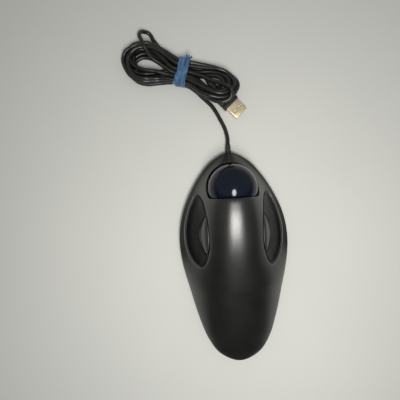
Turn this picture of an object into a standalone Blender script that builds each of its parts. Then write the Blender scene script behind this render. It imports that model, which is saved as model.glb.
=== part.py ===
"""A trackball mouse with its cord, the hank it is tied in, and its plug.

The origin is on the table under the middle of the mouse: +X to the user's right, +Y away from the
user towards the cord, +Z up. Sizes below are in millimetres; solid() turns them into metres.
"""

import math

import bmesh
import bpy
import numpy as np
from mathutils import Matrix, Vector

MM = 0.001
GAP = 0.3  # between pieces that touch
MERGE = 0.002  # corners that a Boolean leaves nearer than this become one
FLAT = math.radians(0.05)  # faces that bend less than this are one plane
ABOVE = 60.0  # higher than every piece, for the tops of cutters
OVER = 1.0  # how far a cutter or a joined piece runs past the face it meets

# ---------------------------------------------------------------- the body's outer form
# Right half of the plan outline, (half width, y), from the cord's end to the palm's end.
HALF_OUTLINE = [
    (0, 84), (14.5, 77.2), (25.8, 64.3), (33.5, 51.5), (39.2, 38.6), (42.5, 25.8), (43.5, 12.9),
    (42.5, 0), (40, -12.8), (36.7, -25.6), (33.5, -38.5), (29.8, -51.3), (25, -64.2), (16.2, -77),
    (0, -84),
]
# The centre line's height, (y, z): palm, long rise to the neck's crest, steep drop to the cord.
CREST = [
    (-84, 8), (-78, 11), (-70, 14.6), (-60, 19), (-50, 22.9), (-40, 26.7), (-30, 30.5), (-20, 34.3),
    (-10, 38), (0, 41.5), (10, 44.6), (20, 47), (30, 48.6), (40, 49.3), (47, 48.8), (50, 47.5),
    (55, 43.6), (60, 38), (65, 31), (70, 23), (74.4, 16.5), (80, 11.5), (84, 8),
]
EDGE = 8.0  # height at which the top surface meets the side wall
PARTING = 4.5  # lower edge of the top shell
SIDE_TAPER = 1.0  # how far the side wall leans in from EDGE to PARTING
WALL = 1.8
NECK_FROM, NECK_TO = -25.0, 15.0  # the section changes from a dome to a neck between these y
AROUND = 44  # points round the outline
RINGS = [0.0, 0.2, 0.38, 0.52, 0.64, 0.75, 0.85, 0.93, 1.0]

BASE_BOTTOM = 1.2
BASE_INSIDE = 1.6  # bosses start, and blind holes end, this high in the base's bottom wall
BASE_FLOOR = 2.8
BASE_RIM = 4.2
LIP_TOP = 6.0

# ---------------------------------------------------------------- ball and socket
BALL_CENTRE = Vector((0, 54, 28))
BALL_RADIUS = 19.0
BALL_ROOM = 0.5  # between the ball and the shell round its mouth
CUP_INNER, CUP_OUTER = 20.0, 21.6
THROUGH_CUP = (15.0, CUP_OUTER + 3)  # from the ball's centre, for holes in the cup's wall
CUP_DEPTH = WALL + GAP  # the cup stays this far below the outer surface
FLANGE_THICKNESS = 1.5
FLANGE_REACH = 1.6  # how far the cup's flange runs out under the shell
MOUTH_CENTRE_Y, MOUTH_RADIUS, MOUTH_FRONT_Y = 55.0, 19.9, 47.0
STUD_DIRECTIONS = {
    "left": (-0.774, 0.332, -0.539), "right": (0.774, 0.332, -0.539), "front": (0, -0.842, -0.539),
}
STUD_RADIUS, STUD_BOSS = 1.2, 2.6
WINDOW_DIRECTION = (0, -0.316, -0.949)
WINDOW_RADIUS = 4.2

# ---------------------------------------------------------------- keys, right side
# The opening's outline in plan, from its rear tip down its outer side and back up the inner one.
KEY_OPENING = [
    (27, 51.5), (33.5, 43), (36.4, 35), (38.3, 27), (38.9, 18), (37.8, 8.5), (35.4, 2),
    (31.8, -2.8), (27.3, -5), (23.6, -1.5), (21.2, 5), (19.9, 13), (19.8, 21), (20.5, 31),
    (21.7, 40), (24, 48),
]
SMALL_KEY = [
    (21.7, 34), (24.6, 28.6), (26.2, 20.5), (25, 12), (22.2, 6.2), (20.75, 10.5), (20.2, 20),
    (20.75, 28),
]
TONGUE = [(25.0, 42), (29.5, 42), (29.5, 57), (24.6, 57)]  # the long key's arm under the shell
KEY_GAP = 0.4
NOTCH_GAP = 0.7  # round the small key, in the long key's inner side
NOTCH = [(18, 5.2), (22.3, 5.2), (22.3, 35.1), (18, 35.1)]  # what the long key leaves free
LONG_KEY_RECESS, SMALL_KEY_RECESS = 0.4, 0.1
KEY_THICKNESS, ARM_THICKNESS = 2.0, 1.6
KEY_HINGE = (27.0, 56.0, 20.0)
LONG_SWITCH, SMALL_SWITCH = (30.5, 14.0), (22.8, 20.0)
STEM_RADIUS = 1.3
STEM_SINK = 0.8  # how far a stem runs up into its key

# ---------------------------------------------------------------- inside
BOARD_LOW, BOARD_HIGH = 3.4, 5.0
BOARD_OUTLINE = [(22, -30), (35, -2), (35, 28), (26, 44), (9, 62), (9, 70)]  # right half
ON_BOARD = BOARD_HIGH + GAP
SWITCH_SIZE = (5.8, 12.8, 6.0)
PLUNGER_SIZE = (1.2, 2.6, 1.7)
PLUNGER_TOP = ON_BOARD + SWITCH_SIZE[2] + 0.8
CASE_SCREWS = {"neck_left": (-12, 25), "neck_right": (12, 25), "palm_left": (-20, -38),
               "palm_right": (20, -38), "palm_end": (0, -66)}
BOARD_SCREWS = {"left": (-14, -20), "right": (14, -20)}
SCREW_RADIUS, HEAD_RADIUS = 1.05, 2.6
SCREW_TOP = 10.5
HEAD_LOW, HEAD_HIGH = 1.5, 2.7
PILLAR_RADIUS, PILLAR_FOOT, BOSS_RADIUS, POST_RADIUS = 3.2, LIP_TOP + GAP, 3.8, 3.2
FEET = {"rear_left": (-24, 50), "rear_right": (24, 50), "palm_left": (-19, -54),
        "palm_right": (19, -54)}
FOOT_RADIUS, FOOT_TOP, FOOT_RECESS = 5.0, 1.4, 1.7

# ---------------------------------------------------------------- cord
CORD_RADIUS = 1.65
GLAND_Z = 5.0
# Free stretch, from the strain relief to the hank's side.
CORD_ROUTE = [
    (0, 90.9, 5), (0.2, 95, 4.4), (-0.2, 99, 3.3), (-1.7, 105, 2.1), (-4.2, 110.9, 1.8),
    (-7.1, 116.8, 1.8), (-10.2, 122.3, 1.8), (-15.7, 128.5, 1.8), (-19.5, 132.6, 1.8),
]
HANK_OUTLINE = [
    (12.3, 138.5), (10.2, 147.5), (1, 152.8), (-9, 155), (-18.8, 156.2), (-30.3, 160.8),
    (-42, 168), (-52, 176.5), (-61, 186), (-65.5, 186.5), (-69, 180), (-73, 173), (-77.5, 167),
    (-78.3, 159), (-76, 150), (-69, 144), (-60, 142.2), (-48, 142.8), (-36.5, 141.8),
    (-25.5, 138.2), (-16, 132.8), (-8.2, 128.2), (0, 126), (6.8, 127), (11.5, 131.5),
]
HANK_LOW, HANK_HIGH = 1.3, 12.3
TIE_CENTRE = (-33.4, 151.3)
TIE_ANGLE = math.radians(-18)  # the hank's direction in plan
TIE_WIDTH, TIE_INSIDE, TIE_THICKNESS = 12.0, 20.8, 1.0
PLUG_ROOT = (5.3, 123.4)  # where the metal shell leaves the moulding
PLUG_ANGLE = math.radians(-47.3)
PLUG_Z = 3.9
PLUG_BODY = (18.0, 14.5, 7.6)
PLUG_NECK = 7.0
PLUG_SHELL = (12.0, 4.5)
SHELL_SHEET = 0.4
SHELL_SEAT, SHELL_REACH = 1.7, 10.9

# name: (colour, roughness, metallic)
FINISHES = {
    "shell": ((0.020, 0.020, 0.018), 0.42, 0), "key": ((0.014, 0.014, 0.016), 0.34, 0),
    "base": ((0.018, 0.018, 0.018), 0.5, 0), "ball": ((0.010, 0.014, 0.035), 0.08, 0),
    "cup": ((0.008, 0.012, 0.022), 0.4, 0), "stud": ((0.75, 0.74, 0.7), 0.2, 0),
    "window": ((0.5, 0.5, 0.55), 0.1, 0), "chip": ((0.02, 0.02, 0.02), 0.5, 0),
    "lamp": ((0.7, 0.05, 0.04), 0.15, 0), "board": ((0.02, 0.16, 0.07), 0.45, 0),
    "steel": ((0.55, 0.55, 0.56), 0.3, 1), "connector": ((0.75, 0.72, 0.62), 0.5, 0),
    "plunger": ((0.6, 0.03, 0.02), 0.4, 0), "rubber": ((0.03, 0.03, 0.03), 0.8, 0),
    "cord": ((0.018, 0.018, 0.016), 0.45, 0), "tie": ((0.055, 0.13, 0.26), 0.4, 0),
    "gold": ((0.60, 0.50, 0.28), 0.28, 1), "tongue": ((0.6, 0.6, 0.58), 0.5, 0),
}


# ================================================================ curves
def smooth(points, per_span, closed=False):
    """A smooth curve through the points, with per_span steps from each one to the next."""
    p = np.array(points, float)
    if closed:
        p = np.vstack([p[-1:], p, p[:2]])
    step = np.diff(p, axis=0)
    chord = np.linalg.norm(step, axis=1)[:, None]
    slope = step / chord
    tangent = np.vstack([slope[:1], slope])
    tangent[1:-1] = (slope[:-1] * chord[1:] + slope[1:] * chord[:-1]) / (chord[:-1] + chord[1:])
    t = np.linspace(0, 1, per_span, endpoint=False)[:, None]
    curve = []
    for i in range(1, len(p) - 2) if closed else range(len(p) - 1):
        bend = (t**3 - 2 * t**2 + t) * tangent[i] + (t**3 - t**2) * tangent[i + 1]
        curve.append(p[i] + (3 * t**2 - 2 * t**3) * step[i] + chord[i] * bend)
    return np.vstack(curve if closed else [*curve, p[-1:]])


def spaced(curve, count, closed=True):
    """The same curve with count points, evenly spaced along it."""
    line = np.vstack([curve, curve[:1]]) if closed else curve
    along = np.concatenate([[0], np.cumsum(np.linalg.norm(np.diff(line, axis=0), axis=1))])
    at = np.linspace(0, along[-1], count, endpoint=not closed)
    return np.stack([np.interp(at, along, axis) for axis in line.T], axis=1)


def side_normals(curve):
    """Unit vectors pointing out of a closed plan curve."""
    ahead = np.roll(curve, -1, axis=0) - np.roll(curve, 1, axis=0)
    normal = np.stack([-ahead[:, 1], ahead[:, 0]], axis=1)
    normal /= np.linalg.norm(normal, axis=1)[:, None]
    x, y = curve.T
    area = (x * np.roll(y, -1) - np.roll(x, -1) * y).sum()
    return -normal if area > 0 else normal


def grown(curve, by):
    """The closed plan curve moved outwards, or inwards where by is negative."""
    return curve + by * side_normals(curve)


# ================================================================ the body's form
DENSE_OUTLINE = smooth(HALF_OUTLINE + [(-x, y) for x, y in HALF_OUTLINE[-2:0:-1]], 12, closed=True)
DENSE_CREST = smooth(CREST, 6)
RIM = spaced(DENSE_OUTLINE, AROUND)


def half_width(y):
    right = DENSE_OUTLINE[DENSE_OUTLINE[:, 0] >= -1e-9]
    right = right[np.argsort(right[:, 1])]
    return np.interp(y, right[:, 1], right[:, 0])


def height(x, y):
    """The height of the outer surface above the table."""
    across = np.clip(np.abs(x) / np.maximum(half_width(y), 0.01), 0, 1)
    neck = 0.45 * (1 + np.cos(np.pi * across**1.35)) + 0.1 * np.sqrt(1 - across**2)
    dome = (1 - across**2.2) ** 0.8
    t = np.clip((y - NECK_FROM) / (NECK_TO - NECK_FROM), 0, 1)
    section = dome + (neck - dome) * t * t * (3 - 2 * t)
    return EDGE + (np.interp(y, *DENSE_CREST.T) - EDGE) * section


def skin(depth):
    """Rings of points on the outer surface moved inwards by depth, from the centre to the rim."""
    reach = 0.25
    rings = []
    for r in RINGS:
        x, y = min(r, 0.985) * RIM.T  # the slope is read just inside the rim
        slope_x = (height(x + reach, y) - height(x - reach, y)) / (2 * reach)
        slope_y = (height(x, y + reach) - height(x, y - reach)) / (2 * reach)
        shift_x, shift_y = -r * depth * side_normals(RIM).T
        drop = depth * np.sqrt(1 + slope_x**2 + slope_y**2) - slope_x * shift_x - slope_y * shift_y
        x, y = r * RIM.T
        z = height(x, y) - drop
        ring = np.stack([x + shift_x, y + shift_y, z], axis=1)
        rings.append(ring[:1] if r == 0 else ring)
    return rings


def level(inset, z):
    """The plan outline, drawn in by inset, at one height."""
    return np.column_stack([grown(RIM, -inset), np.full(AROUND, z)])


# ================================================================ solids
def finish_of(name):
    colour, roughness, metallic = FINISHES[name]
    material = bpy.data.materials.get(name)
    if material is None:
        material = bpy.data.materials.new(name)
        material.use_nodes = True
        shader = material.node_tree.nodes["Principled BSDF"]
        shader.inputs["Base Color"].default_value = (*colour, 1)
        shader.inputs["Roughness"].default_value = roughness
        shader.inputs["Metallic"].default_value = metallic
    return material


def solid(name, rings, finish="shell", place=None):
    """A closed solid skinned over rings of points; a ring of one point closes an end."""
    bm = bmesh.new()
    rows = [[bm.verts.new(Vector(point) * MM) for point in ring] for ring in rings]
    for row, following in zip(rows, rows[1:]):
        count = max(len(row), len(following))
        for i in range(count):
            j = (i + 1) % count
            corners = [row[i % len(row)], row[j % len(row)]]
            corners += [following[j % len(following)], following[i % len(following)]]
            bm.faces.new(list(dict.fromkeys(corners)))
    for row in (rows[0], rows[-1]):
        if len(row) > 1:
            bm.faces.new(row)
    bmesh.ops.connect_verts_nonplanar(bm, angle_limit=FLAT, faces=bm.faces)
    bmesh.ops.recalc_face_normals(bm, faces=bm.faces)
    if bm.calc_volume(signed=True) < 0:
        bmesh.ops.reverse_faces(bm, faces=bm.faces)
    if place is not None:
        bm.transform(place)
    mesh = bpy.data.meshes.new(name)
    bm.to_mesh(mesh)
    bm.free()
    obj = bpy.data.objects.new(name, mesh)
    bpy.context.collection.objects.link(obj)
    obj.data.materials.append(finish_of(finish))
    return obj


def at(position, direction=(0, 0, 1), turn=0.0):
    """The place of a piece whose own +Z points along direction, in metres."""
    aim = Vector((0, 0, 1)).rotation_difference(Vector(direction)).to_matrix().to_4x4()
    return Matrix.Translation(Vector(position) * MM) @ aim @ Matrix.Rotation(turn, 4, "Z")


def prism(name, outline, low, high, finish="shell", place=None):
    flat = np.array(outline, float)
    rings = [np.column_stack([flat, np.full(len(flat), z)]) for z in (low, high)]
    return solid(name, rings, finish, place)


def box(name, centre, size, low, high, finish="shell", place=None):
    (x, y), (wide, deep) = centre, size
    corners = [(-1, -1), (1, -1), (1, 1), (-1, 1)]
    outline = [(x + sx * wide / 2, y + sy * deep / 2) for sx, sy in corners]
    return prism(name, outline, low, high, finish, place)


def turned(name, profile, finish="shell", place=None, sides=14):
    """A turned solid; profile is (radius, height along its own Z)."""
    angles = np.arange(sides) * 2 * np.pi / sides
    rings = []
    for radius, z in profile:
        circle = np.column_stack([radius * np.cos(angles), radius * np.sin(angles),
                                  np.full(sides, z)])
        rings.append(circle if radius > 0 else circle[:1])
    return solid(name, rings, finish, place)


def rod(name, radius, low, high, finish="shell", place=None, sides=14):
    return turned(name, [(radius, low), (radius, high)], finish, place, sides)


def sphere(name, radius, finish="shell", sides=28):
    steps = sides // 2
    polar = [math.pi * i / steps for i in range(1, steps)]
    profile = [(0, -radius)]
    profile += [(radius * math.sin(a), -radius * math.cos(a)) for a in polar]
    return turned(name, [*profile, (0, radius)], finish, at(BALL_CENTRE), sides)


def combine(target, other, operation):
    """Applies an exact Boolean to target and removes the other object."""
    change = target.modifiers.new(operation, "BOOLEAN")
    change.operation = operation
    change.solver = "EXACT"
    change.object = other
    bpy.context.view_layer.update()
    depsgraph = bpy.context.evaluated_depsgraph_get()
    mesh = bpy.data.meshes.new_from_object(target.evaluated_get(depsgraph))
    target.modifiers.clear()
    target.data = mesh
    bpy.data.objects.remove(other)
    bm = bmesh.new()
    bm.from_mesh(mesh)
    bmesh.ops.remove_doubles(bm, verts=bm.verts, dist=MERGE * MM)
    bmesh.ops.dissolve_limit(bm, angle_limit=FLAT, verts=bm.verts, edges=bm.edges)
    bm.to_mesh(mesh)
    bm.free()
    return target


def cut(target, *cutters):
    for cutter in cutters:
        combine(target, cutter, "DIFFERENCE")
    return target


def join(target, *others):
    for other in others:
        combine(target, other, "UNION")
    return target


def keep_inside(target, other):
    return combine(target, other, "INTERSECT")


def hang_on(obj, pivot):
    """Moves the object's origin to the point that it turns or slides at."""
    obj.data.transform(Matrix.Translation(-Vector(pivot) * MM))
    obj.location = Vector(pivot) * MM


# ================================================================ shapes shared by several pieces
def under_surface(depth):
    """All the space more than depth below the outer surface."""
    return solid("under", [*skin(depth), level(depth + SIDE_TAPER, -5)])


def layer(depth, thickness):
    """A sheet that follows the outer surface, from depth to depth + thickness below it."""
    return solid("layer", [*skin(depth), *skin(depth + thickness)[::-1]])


def mouth():
    """The D of the ball's opening: an arc closed by a straight front edge with round corners."""
    arc = [math.radians(a) for a in range(-15, 196, 7)]
    points = [(MOUTH_RADIUS * math.cos(a), MOUTH_CENTRE_Y + MOUTH_RADIUS * math.sin(a)) for a in arc]
    reach, turn = 15.6, 18.6
    corner = [np.array(p, float) for p in (points[-1], (-turn, MOUTH_FRONT_Y), (-reach, MOUTH_FRONT_Y))]
    for t in (0.25, 0.5, 0.75, 1):
        x, y = (1 - t) ** 2 * corner[0] + 2 * t * (1 - t) * corner[1] + t * t * corner[2]
        points.append((x, y))
    points += [(-x, y) for x, y in points[-1:-5:-1]]
    return np.array(points)


def key_opening():
    return spaced(smooth(KEY_OPENING, 4, closed=True), 40)


def small_key_outline():
    return spaced(smooth(SMALL_KEY, 4, closed=True), 24)


def gland_bore():
    """The bore and the groove for the strain relief, through the shell's wall and the base's rim."""
    along_y = at((0, 0, GLAND_Z), (0, 1, 0))
    profile = [(3.3, 77.5), (3.3, 80), (2.6, 80), (2.6, 90)]
    return turned("gland_bore", profile, place=along_y, sides=16)


# ================================================================ pieces
def make_top_shell():
    rings = [*skin(0), level(SIDE_TAPER, PARTING)]
    rings += [level(SIDE_TAPER + WALL, PARTING), *skin(WALL)[::-1]]
    shell = solid("top_shell", rings)
    for x, y in CASE_SCREWS.values():
        pillar = rod("pillar", PILLAR_RADIUS, PILLAR_FOOT, ABOVE, place=at((x, y, 0)))
        join(shell, keep_inside(pillar, under_surface(WALL / 2)))
        low, high = PILLAR_FOOT - OVER, SCREW_TOP + OVER / 2
        hole = rod("hole", SCREW_RADIUS + GAP, low, high, place=at((x, y, 0)))
        cut(shell, hole)
    cut(shell, prism("mouth", mouth(), EDGE + WALL, ABOVE), sphere("ball_room", BALL_RADIUS + BALL_ROOM))
    for side in (1, -1):
        cut(shell, prism("key_hole", key_opening() * (side, 1), 0, ABOVE))
    cut(shell, gland_bore())


def make_base_plate():
    profile = [(3.0, BASE_BOTTOM), (1.2, BASE_RIM), (3.1, BASE_RIM), (3.3, LIP_TOP), (4.7, LIP_TOP),
               (4.9, BASE_FLOOR)]
    base = solid("base_plate", [level(*step) for step in profile], "base")
    for x, y in CASE_SCREWS.values():
        here = at((x, y, 0))
        join(base, rod("boss", BOSS_RADIUS, BASE_INSIDE, LIP_TOP, place=here))
        seat = HEAD_HIGH + GAP
        bore = [(HEAD_RADIUS + GAP, 0), (HEAD_RADIUS + GAP, seat), (SCREW_RADIUS + GAP, seat),
                (SCREW_RADIUS + GAP, LIP_TOP + OVER)]
        cut(base, turned("bore", bore, place=here))
    for x, y in BOARD_SCREWS.values():
        here = at((x, y, 0))
        join(base, rod("boss", POST_RADIUS, BASE_FLOOR - OVER, BOARD_LOW - GAP, place=here))
        cut(base, rod("bore", SCREW_RADIUS + GAP, BASE_INSIDE, LIP_TOP, place=here))
    for x, y in FEET.values():
        cut(base, rod("recess", FOOT_RADIUS + GAP, 0, FOOT_RECESS, place=at((x, y, 0)), sides=24))
    cut(base, gland_bore())


def make_ball():
    ball = sphere("ball", BALL_RADIUS, "ball")
    hang_on(ball, BALL_CENTRE)


def make_cup():
    cup = sphere("ball_cup", CUP_OUTER, "cup")
    flange = layer(CUP_DEPTH - OVER / 2, FLANGE_THICKNESS + OVER / 2)
    join(cup, keep_inside(flange, prism("reach", grown(mouth(), FLANGE_REACH), 0, ABOVE)))
    for direction in STUD_DIRECTIONS.values():
        place = at(BALL_CENTRE, direction)
        join(cup, rod("boss", STUD_BOSS, CUP_INNER + OVER / 2, CUP_OUTER + 0.7, place=place))
    keep_inside(cup, under_surface(CUP_DEPTH))
    cut(cup, sphere("hollow", CUP_INNER))
    for direction in STUD_DIRECTIONS.values():
        place = at(BALL_CENTRE, direction)
        cut(cup, rod("bore", STUD_RADIUS + GAP, *THROUGH_CUP, place=place, sides=12))
    window = at(BALL_CENTRE, WINDOW_DIRECTION)
    cut(cup, rod("bore", WINDOW_RADIUS + GAP, *THROUGH_CUP, place=window))


def make_studs():
    tip = BALL_RADIUS + GAP
    profile = [(0, tip), (0.7, tip + 0.2), (STUD_RADIUS, tip + 0.9), (STUD_RADIUS, tip + 2.8),
               (0, tip + 2.8)]
    for name, direction in STUD_DIRECTIONS.items():
        place = at(BALL_CENTRE, direction)
        turned(f"bearing_{name}", profile, "stud", place, 12)


def make_window_and_sensor():
    place = at(BALL_CENTRE, WINDOW_DIRECTION)
    rod("sensor_window", WINDOW_RADIUS, CUP_INNER + 0.2, CUP_OUTER + 0.2, "window", place)
    box("sensor_chip", (0, 45), (8, 9), ON_BOARD, ON_BOARD + 0.9, "chip")
    dome = [(1.5, 0), (1.5, 2.2), (1.1, 3.1), (0, 3.5)]
    turned("sensor_lamp", dome, "lamp", at((0, 33, ON_BOARD)), 12)


def make_board():
    outline = BOARD_OUTLINE + [(-x, y) for x, y in BOARD_OUTLINE[::-1]]
    board = prism("main_board", outline, BOARD_LOW, BOARD_HIGH, "board")
    for x, y in BOARD_SCREWS.values():
        cut(board, rod("hole", SCREW_RADIUS + GAP, 0, ABOVE, place=at((x, y, 0))))
    for name in ("neck_left", "neck_right"):
        cut(board, rod("hole", BOSS_RADIUS + GAP, 0, ABOVE, place=at((*CASE_SCREWS[name], 0))))
    box("controller_chip", (0, 0), (9, 9), ON_BOARD, ON_BOARD + 1.2, "chip")
    outline = spaced(smooth([(-5.5, 0), (-3.5, 2.2), (3.5, 2.2), (5.5, 0), (3.5, -2.2), (-3.5, -2.2)],
                            4, closed=True), 20)
    prism("crystal", outline + (0, -12), ON_BOARD, ON_BOARD + 3.5, "steel")
    for i, x in enumerate((-9, 9)):
        can = [(2.0, 0), (2.0, 4.6), (1.7, 5.0)]
        turned(f"capacitor_{i + 1}", can, "steel", at((x, 14, ON_BOARD)), 16)
    connector = box("board_connector", (0, 66.4), (10, 4.6), ON_BOARD, ON_BOARD + 3.2, "connector")
    cut(connector, box("mouth", (0, 67.9), (3.8, 3), ON_BOARD - 0.2, ON_BOARD + 3.0))


def make_inner_lead():
    route = [(0, 77.4, GLAND_Z), (0, 74.5, GLAND_Z + 0.2), (0, 72, GLAND_Z + 1.6), (0, 69.2, 7.0)]
    tube("inner_lead", smooth(route, 3), 1.3, "cord")


def make_switches():
    for side, side_name in ((1, "right"), (-1, "left")):
        for size, place in (("", LONG_SWITCH), ("small_", SMALL_SWITCH)):
            x, y = side * place[0], place[1]
            top = ON_BOARD + SWITCH_SIZE[2]
            name = f"{side_name}_{size}switch"
            body = box(name, (x, y), SWITCH_SIZE[:2], ON_BOARD, top, "chip")
            wide, deep, tall = PLUNGER_SIZE
            well = (wide + 2 * GAP, deep + 2 * GAP)
            cut(body, box("well", (x, y), well, PLUNGER_TOP - tall - 0.9, top + 1))
            plunger = box(f"{name}_plunger", (x, y), (wide, deep), PLUNGER_TOP - tall, PLUNGER_TOP,
                          "plunger")
            hang_on(plunger, (x, y, PLUNGER_TOP))


def stem(place, depth):
    """A post from just above a plunger up into the underside of a key."""
    post = rod("stem", STEM_RADIUS, PLUNGER_TOP + GAP, ABOVE, place=at((*place, 0)), sides=12)
    return keep_inside(post, under_surface(depth))


def make_keys():
    key = layer(LONG_KEY_RECESS, KEY_THICKNESS)
    keep_inside(key, prism("outline", grown(key_opening(), -KEY_GAP), 0, ABOVE))
    cut(key, prism("small", grown(small_key_outline(), NOTCH_GAP), 0, ABOVE))
    cut(key, prism("notch", NOTCH, 0, ABOVE))
    arm = keep_inside(layer(WALL + KEY_GAP, ARM_THICKNESS), prism("arm", TONGUE, 0, ABOVE))
    join(key, arm, stem(LONG_SWITCH, LONG_KEY_RECESS + STEM_SINK))
    both_sides(key, "key", KEY_HINGE)

    small = layer(SMALL_KEY_RECESS, KEY_THICKNESS)
    keep_inside(small, prism("outline", small_key_outline(), 0, ABOVE))
    join(small, stem(SMALL_SWITCH, SMALL_KEY_RECESS + STEM_SINK))
    both_sides(small, "small_key", (*SMALL_SWITCH, PLUNGER_TOP + GAP))


def both_sides(key, name, pivot):
    """Names the right key and makes its mirror image, each with its origin on its own pivot."""
    key.name = f"right_{name}"
    key.data.materials.clear()
    key.data.materials.append(finish_of("key"))
    left = bpy.data.objects.new(f"left_{name}", key.data.copy())
    bpy.context.collection.objects.link(left)
    left.data.transform(Matrix.Scale(-1, 4, (1, 0, 0)))
    left.data.flip_normals()
    hang_on(key, pivot)
    hang_on(left, (-pivot[0], *pivot[1:]))


def make_screws_and_feet():
    for name, (x, y) in CASE_SCREWS.items():
        profile = [(HEAD_RADIUS, HEAD_LOW), (HEAD_RADIUS, HEAD_HIGH), (SCREW_RADIUS, HEAD_HIGH),
                   (SCREW_RADIUS, SCREW_TOP)]
        turned(f"case_screw_{name}", profile, "steel", at((x, y, 0)), 14)
    for name, (x, y) in BOARD_SCREWS.items():
        profile = [(SCREW_RADIUS, BASE_BOTTOM + 0.7), (SCREW_RADIUS, ON_BOARD),
                   (HEAD_RADIUS, ON_BOARD), (HEAD_RADIUS, ON_BOARD + 1.2)]
        turned(f"board_screw_{name}", profile, "steel", at((x, y, 0)), 14)
    for name, (x, y) in FEET.items():
        profile = [(FOOT_RADIUS - 0.4, 0), (FOOT_RADIUS, 0.4), (FOOT_RADIUS, FOOT_TOP)]
        turned(f"foot_{name}", profile, "rubber", at((x, y, 0)), 24)


def tube(name, points, radius, finish):
    curve = bpy.data.curves.new(name, "CURVE")
    curve.dimensions = "3D"
    curve.bevel_depth = radius * MM
    curve.bevel_resolution = 2
    curve.use_fill_caps = True
    spline = curve.splines.new("POLY")
    spline.points.add(len(points) - 1)
    for target, point in zip(spline.points, points):
        target.co = (*(Vector(point) * MM), 1)
    curve.materials.append(finish_of(finish))
    bpy.context.collection.objects.link(bpy.data.objects.new(name, curve))


def make_strain_relief():
    profile = [(3.0, 77.8), (3.0, 79.7), (2.3, 79.7), (2.3, 84.4), (2.6, 84.5), (2.6, 85.6),
               (2.3, 86.4), (2.1, 90.6)]
    turned("strain_relief", profile, "rubber", at((0, 0, GLAND_Z), (0, 1, 0)), 16)


def plug_place():
    """The plug's own frame: X along it towards the metal end, Z up, origin at the metal's root."""
    return Matrix.Translation(Vector((*PLUG_ROOT, PLUG_Z)) * MM) @ Matrix.Rotation(PLUG_ANGLE, 4, "Z")


def tie_place():
    """The tie's own frame: Z along the hank, Y up, origin at the middle of the hank's height."""
    middle = Vector((*TIE_CENTRE, (HANK_LOW + HANK_HIGH) / 2)) * MM
    stand = Matrix.Rotation(math.radians(90), 4, "X") @ Matrix.Rotation(math.radians(90), 4, "Y")
    return Matrix.Translation(middle) @ Matrix.Rotation(TIE_ANGLE, 4, "Z") @ stand


def rounded(wide, tall, radius):
    """A rounded rectangle, six points to each corner."""
    points = []
    for corner, (sx, sy) in enumerate(((1, 1), (-1, 1), (-1, -1), (1, -1))):
        for i in range(6):
            a = math.radians(90 * corner + 18 * i)
            points.append((sx * (wide / 2 - radius) + radius * math.cos(a),
                           sy * (tall / 2 - radius) + radius * math.sin(a)))
    return np.array(points)


def make_hank():
    outline = spaced(smooth(HANK_OUTLINE, 4, closed=True), 60)
    hank = prism("cable_hank", outline, HANK_LOW, HANK_HIGH, "cord")
    long, wide, tall = PLUG_BODY
    low = -(long + PLUG_NECK + 1)
    room = box("plug_room", (low / 2 + 0.5, 0), (-low + 1, wide + 0.8), -tall, tall / 2 + 0.4,
               place=plug_place())
    half = TIE_WIDTH / 2 + 0.4
    height_inside = HANK_HIGH - HANK_LOW
    groove = prism("groove", rounded(60, 60, 2), -half, half, place=tie_place())
    core = rounded(TIE_INSIDE - 2 * GAP, height_inside, 4)
    cut(groove, prism("core", core, -half - 1, half + 1, place=tie_place()))
    cut(hank, room, groove)


def make_tie():
    inside = (TIE_INSIDE, HANK_HIGH - HANK_LOW + 2 * GAP)
    outside = [size + 2 * TIE_THICKNESS for size in inside]
    half = TIE_WIDTH / 2
    tie = prism("cable_tie", rounded(*outside, 5), -half, half, "tie", tie_place())
    cut(tie, prism("inside", rounded(*inside, 4), -half - 1, half + 1, place=tie_place()))


def make_plug():
    long, wide, tall = PLUG_BODY
    place = plug_place()
    across = place @ Matrix.Rotation(math.radians(90), 4, "Y")
    body = prism("usb_plug_body", rounded(tall, wide, 1.6), -long, 0, "cord", across)
    neck = [(2.8, -long - PLUG_NECK), (3.2, -long + 1)]
    join(body, turned("neck", neck, place=across, sides=16))
    metal_wide, metal_tall = PLUG_SHELL
    seat = rounded(metal_tall + 2 * GAP, metal_wide + 2 * GAP, 0.8)
    cut(body, prism("seat", seat, -SHELL_SEAT - GAP, 1, place=across))

    shell = prism("usb_shell", rounded(metal_tall, metal_wide, 0.6), -SHELL_SEAT, SHELL_REACH, "gold",
                  across)
    hollow = rounded(metal_tall - 2 * SHELL_SHEET, metal_wide - 2 * SHELL_SHEET, 0.3)
    cut(shell, prism("hollow", hollow, -SHELL_SEAT - 1, SHELL_REACH + 1, place=across))
    for side in (1, -1):
        cut(shell, box("window", (SHELL_REACH - 5.2, side * 2.85), (2.3, 2.5), -4, 4, place=place))
    tongue = (SHELL_REACH - 0.9 + SHELL_SEAT, metal_wide - 2 * SHELL_SHEET - 2 * GAP)
    middle = ((SHELL_REACH - 0.9 - SHELL_SEAT) / 2, 0)
    low = -metal_tall / 2 + SHELL_SHEET + GAP
    box("usb_tongue", middle, tongue, low, low + 1.8, "tongue", place)


def shade():
    for obj in bpy.data.objects:
        if obj.type == "MESH":
            obj.data.shade_smooth()
            obj.data.set_sharp_from_angle(angle=math.radians(35))


def main():
    for obj in list(bpy.data.objects):
        bpy.data.objects.remove(obj)
    make_top_shell()
    make_base_plate()
    make_ball()
    make_cup()
    make_studs()
    make_window_and_sensor()
    make_board()
    make_inner_lead()
    make_switches()
    make_keys()
    make_screws_and_feet()
    make_strain_relief()
    route = smooth(CORD_ROUTE, 4)
    tube("cable", spaced(route, 12, closed=False), CORD_RADIUS, "cord")
    make_hank()
    make_tie()
    make_plug()
    shade()


main()
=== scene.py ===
"""The looks of the trackball mouse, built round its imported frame.

Lengths below are in millimetres, as in the frame's own source; MM turns them into metres. The part
lies as the frame has it: +X to the user's right, +Y away from the user towards the cord, +Z up.
"""

import math

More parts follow.
